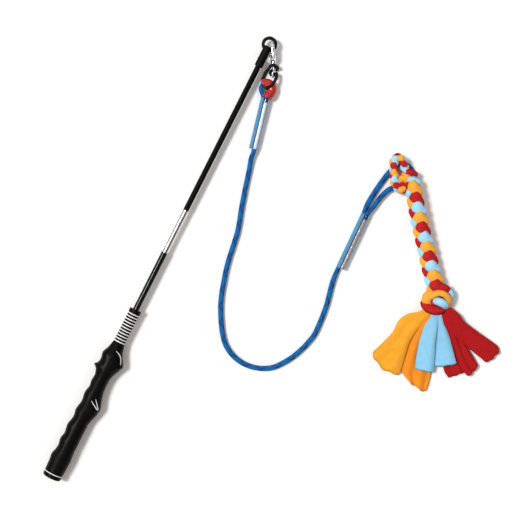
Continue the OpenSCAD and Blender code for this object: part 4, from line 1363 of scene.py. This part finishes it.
class FLIRT_OT_tails(bpy.types.Operator):
    """Cuts the loose tails under the knot"""

    bl_idname = "flirt.tails"
    bl_label = "Lure tails"

    def execute(self, context):
        thickness = context.scene.flirt_sizes.fleece_thickness
        for name, (colour, left, *lie) in TAILS.items():
            # The cut share gives the tail painted shade along its sides and tip.
            piece = laid_grid(
                "fleece_" + name, *TAIL_GRID, tail_place(left, *lie), {"cut": painted_edge_shade}, closed_up=False)
            finish_with(piece, "SOLIDIFY", "Cloth", thickness=thickness, offset=0.0)
            finish_with(piece, "SUBSURF", "Smooth", levels=1, render_levels=1)
            dress_fleece(piece, colour, context.scene.flirt_colours, name, plaited=False)
        return {"FINISHED"}


# Stage

class FLIRT_OT_stage(bpy.types.Operator):
    """Sets up the camera, the table and the light"""

    bl_idname = "flirt.stage"
    bl_label = "Stage"

    def execute(self, context):
        settings = context.scene.flirt_stage
        centre = Vector(VIEW_CENTRE)
        camera = bpy.data.objects.new("camera", bpy.data.cameras.new("camera"))
        camera.data.lens = camera.data.sensor_width * settings.view_height / settings.view_width
        camera.location = centre + Vector((0, 0, settings.view_height))
        camera.rotation_euler = (0, 0, settings.view_turn)
        context.scene.collection.objects.link(camera)
        context.scene.camera = camera
        right = Vector((math.cos(settings.view_turn), math.sin(settings.view_turn), 0))
        up = Vector((-right.y, right.x, 0))
        sun = bpy.data.objects.new("sun", bpy.data.lights.new("sun", "SUN"))
        sun.data.energy = settings.sun_strength
        sun.data.angle = SUN_WIDTH
        sun.data.color = SUN_COLOUR
        plan = (right * SUN_WAY[0] + up * SUN_WAY[1]).normalized()
        beam = plan * math.cos(settings.sun_elevation) - Vector((0, 0, math.sin(settings.sun_elevation)))
        sun.rotation_euler = beam.to_track_quat("-Z", "Y").to_euler()
        context.scene.collection.objects.link(sun)
        self.table(centre)
        self.sky(context.scene, settings.fill, right)
        context.scene.view_settings.view_transform = "Standard"
        return {"FINISHED"}

    def table(self, centre):
        """A white table that keeps the shadow."""
        bm = bmesh.new()
        bmesh.ops.create_circle(bm, cap_ends=True, segments=96, radius=TABLE_RADIUS)
        bmesh.ops.translate(bm, verts=bm.verts[:], vec=centre + Vector((0, 0, TABLE_Z - TABLE_GAP)))
        floor = new_piece(bm, "table")
        material, _, _ = new_shader(
            "white_table", base_color=(0.98, 0.98, 0.98, 1), roughness=0.9, specular_ior_level=0.1)
        floor.data.materials.append(material)

    def sky(self, scene, fill, right):
        """White all round for the camera, a soft even fill, and a bright left side in reflections."""
        world = bpy.data.worlds.new("studio")
        scene.world = world
        world.use_nodes = True
        tree = world.node_tree
        tree.nodes.clear()
        path = add(tree, "ShaderNodeLightPath").outputs
        spot = add(tree, "ShaderNodeTexCoord").outputs["Generated"]
        side = add(tree, "ShaderNodeVectorMath", {0: spot, 1: right}, operation="DOT_PRODUCT")
        ramp = add(tree, "ShaderNodeValToRGB", {"Fac": ranged(tree, side.outputs["Value"], -1.0, 1.0)})
        ramp.color_ramp.elements.remove(ramp.color_ramp.elements[0])
        for place, tone in SKY_TONES:
            stop = ramp.color_ramp.elements.new((place + 1) / 2)
            stop.color = (tone, tone, tone, 1)
        ramp.color_ramp.elements.remove(ramp.color_ramp.elements[-1])
        around, shiny, white = (
            add(tree, "ShaderNodeBackground", {"Color": colour, "Strength": strength}).outputs[0]
            for colour, strength in ((FILL_COLOUR, fill), (ramp.outputs["Color"], 1.0), ((1, 1, 1, 1), 1.0)))
        glossy = sums(tree, "MAXIMUM", path["Is Glossy Ray"], path["Is Transmission Ray"])
        first = add(tree, "ShaderNodeMixShader", {0: glossy, 1: around, 2: shiny}).outputs[0]
        second = add(tree, "ShaderNodeMixShader", {0: path["Is Camera Ray"], 1: first, 2: white}).outputs[0]
        add(tree, "ShaderNodeOutputWorld", {"Surface": second})


OPERATORS = (
    FLIRT_OT_stage, FLIRT_OT_sleeves, FLIRT_OT_rope, FLIRT_OT_cord_loop, FLIRT_OT_handle, FLIRT_OT_tubes,
    FLIRT_OT_snap, FLIRT_OT_lure, FLIRT_OT_knot, FLIRT_OT_tails,
)


class FLIRT_PT_panel(bpy.types.Panel):
    """Lists the flirt pole's pieces"""

    bl_idname = "FLIRT_PT_panel"
    bl_label = "Flirt Pole"
    bl_space_type = "VIEW_3D"
    bl_region_type = "UI"
    bl_category = "Flirt Pole"

    def draw(self, context):
        for operator in OPERATORS:
            self.layout.operator(operator.bl_idname)
        for settings in (context.scene.flirt_colours, context.scene.flirt_sizes, context.scene.flirt_stage):
            for key in settings.bl_rna.properties.keys():
                if key not in ("rna_type", "name"):
                    self.layout.prop(settings, key)


CLASSES = (FlirtPoleColours, FlirtPoleSizes, FlirtPoleStage, FLIRT_PT_panel) + OPERATORS


def register():
    for kind in CLASSES:
        bpy.utils.register_class(kind)
    bpy.types.Scene.flirt_colours = PointerProperty(type=FlirtPoleColours)
    bpy.types.Scene.flirt_sizes = PointerProperty(type=FlirtPoleSizes)
    bpy.types.Scene.flirt_stage = PointerProperty(type=FlirtPoleStage)


def unregister():
    del bpy.types.Scene.flirt_colours
    del bpy.types.Scene.flirt_sizes
    del bpy.types.Scene.flirt_stage
    for kind in reversed(CLASSES):
        bpy.utils.unregister_class(kind)


def main():
    """Builds the pieces in order."""
    register()
    for step in (
            bpy.ops.flirt.stage, bpy.ops.flirt.sleeves, bpy.ops.flirt.rope, bpy.ops.flirt.cord_loop,
            bpy.ops.flirt.handle, bpy.ops.flirt.tubes, bpy.ops.flirt.snap, bpy.ops.flirt.lure,
            bpy.ops.flirt.knot, bpy.ops.flirt.tails):
        step()


if __name__ == "__main__":
    main()
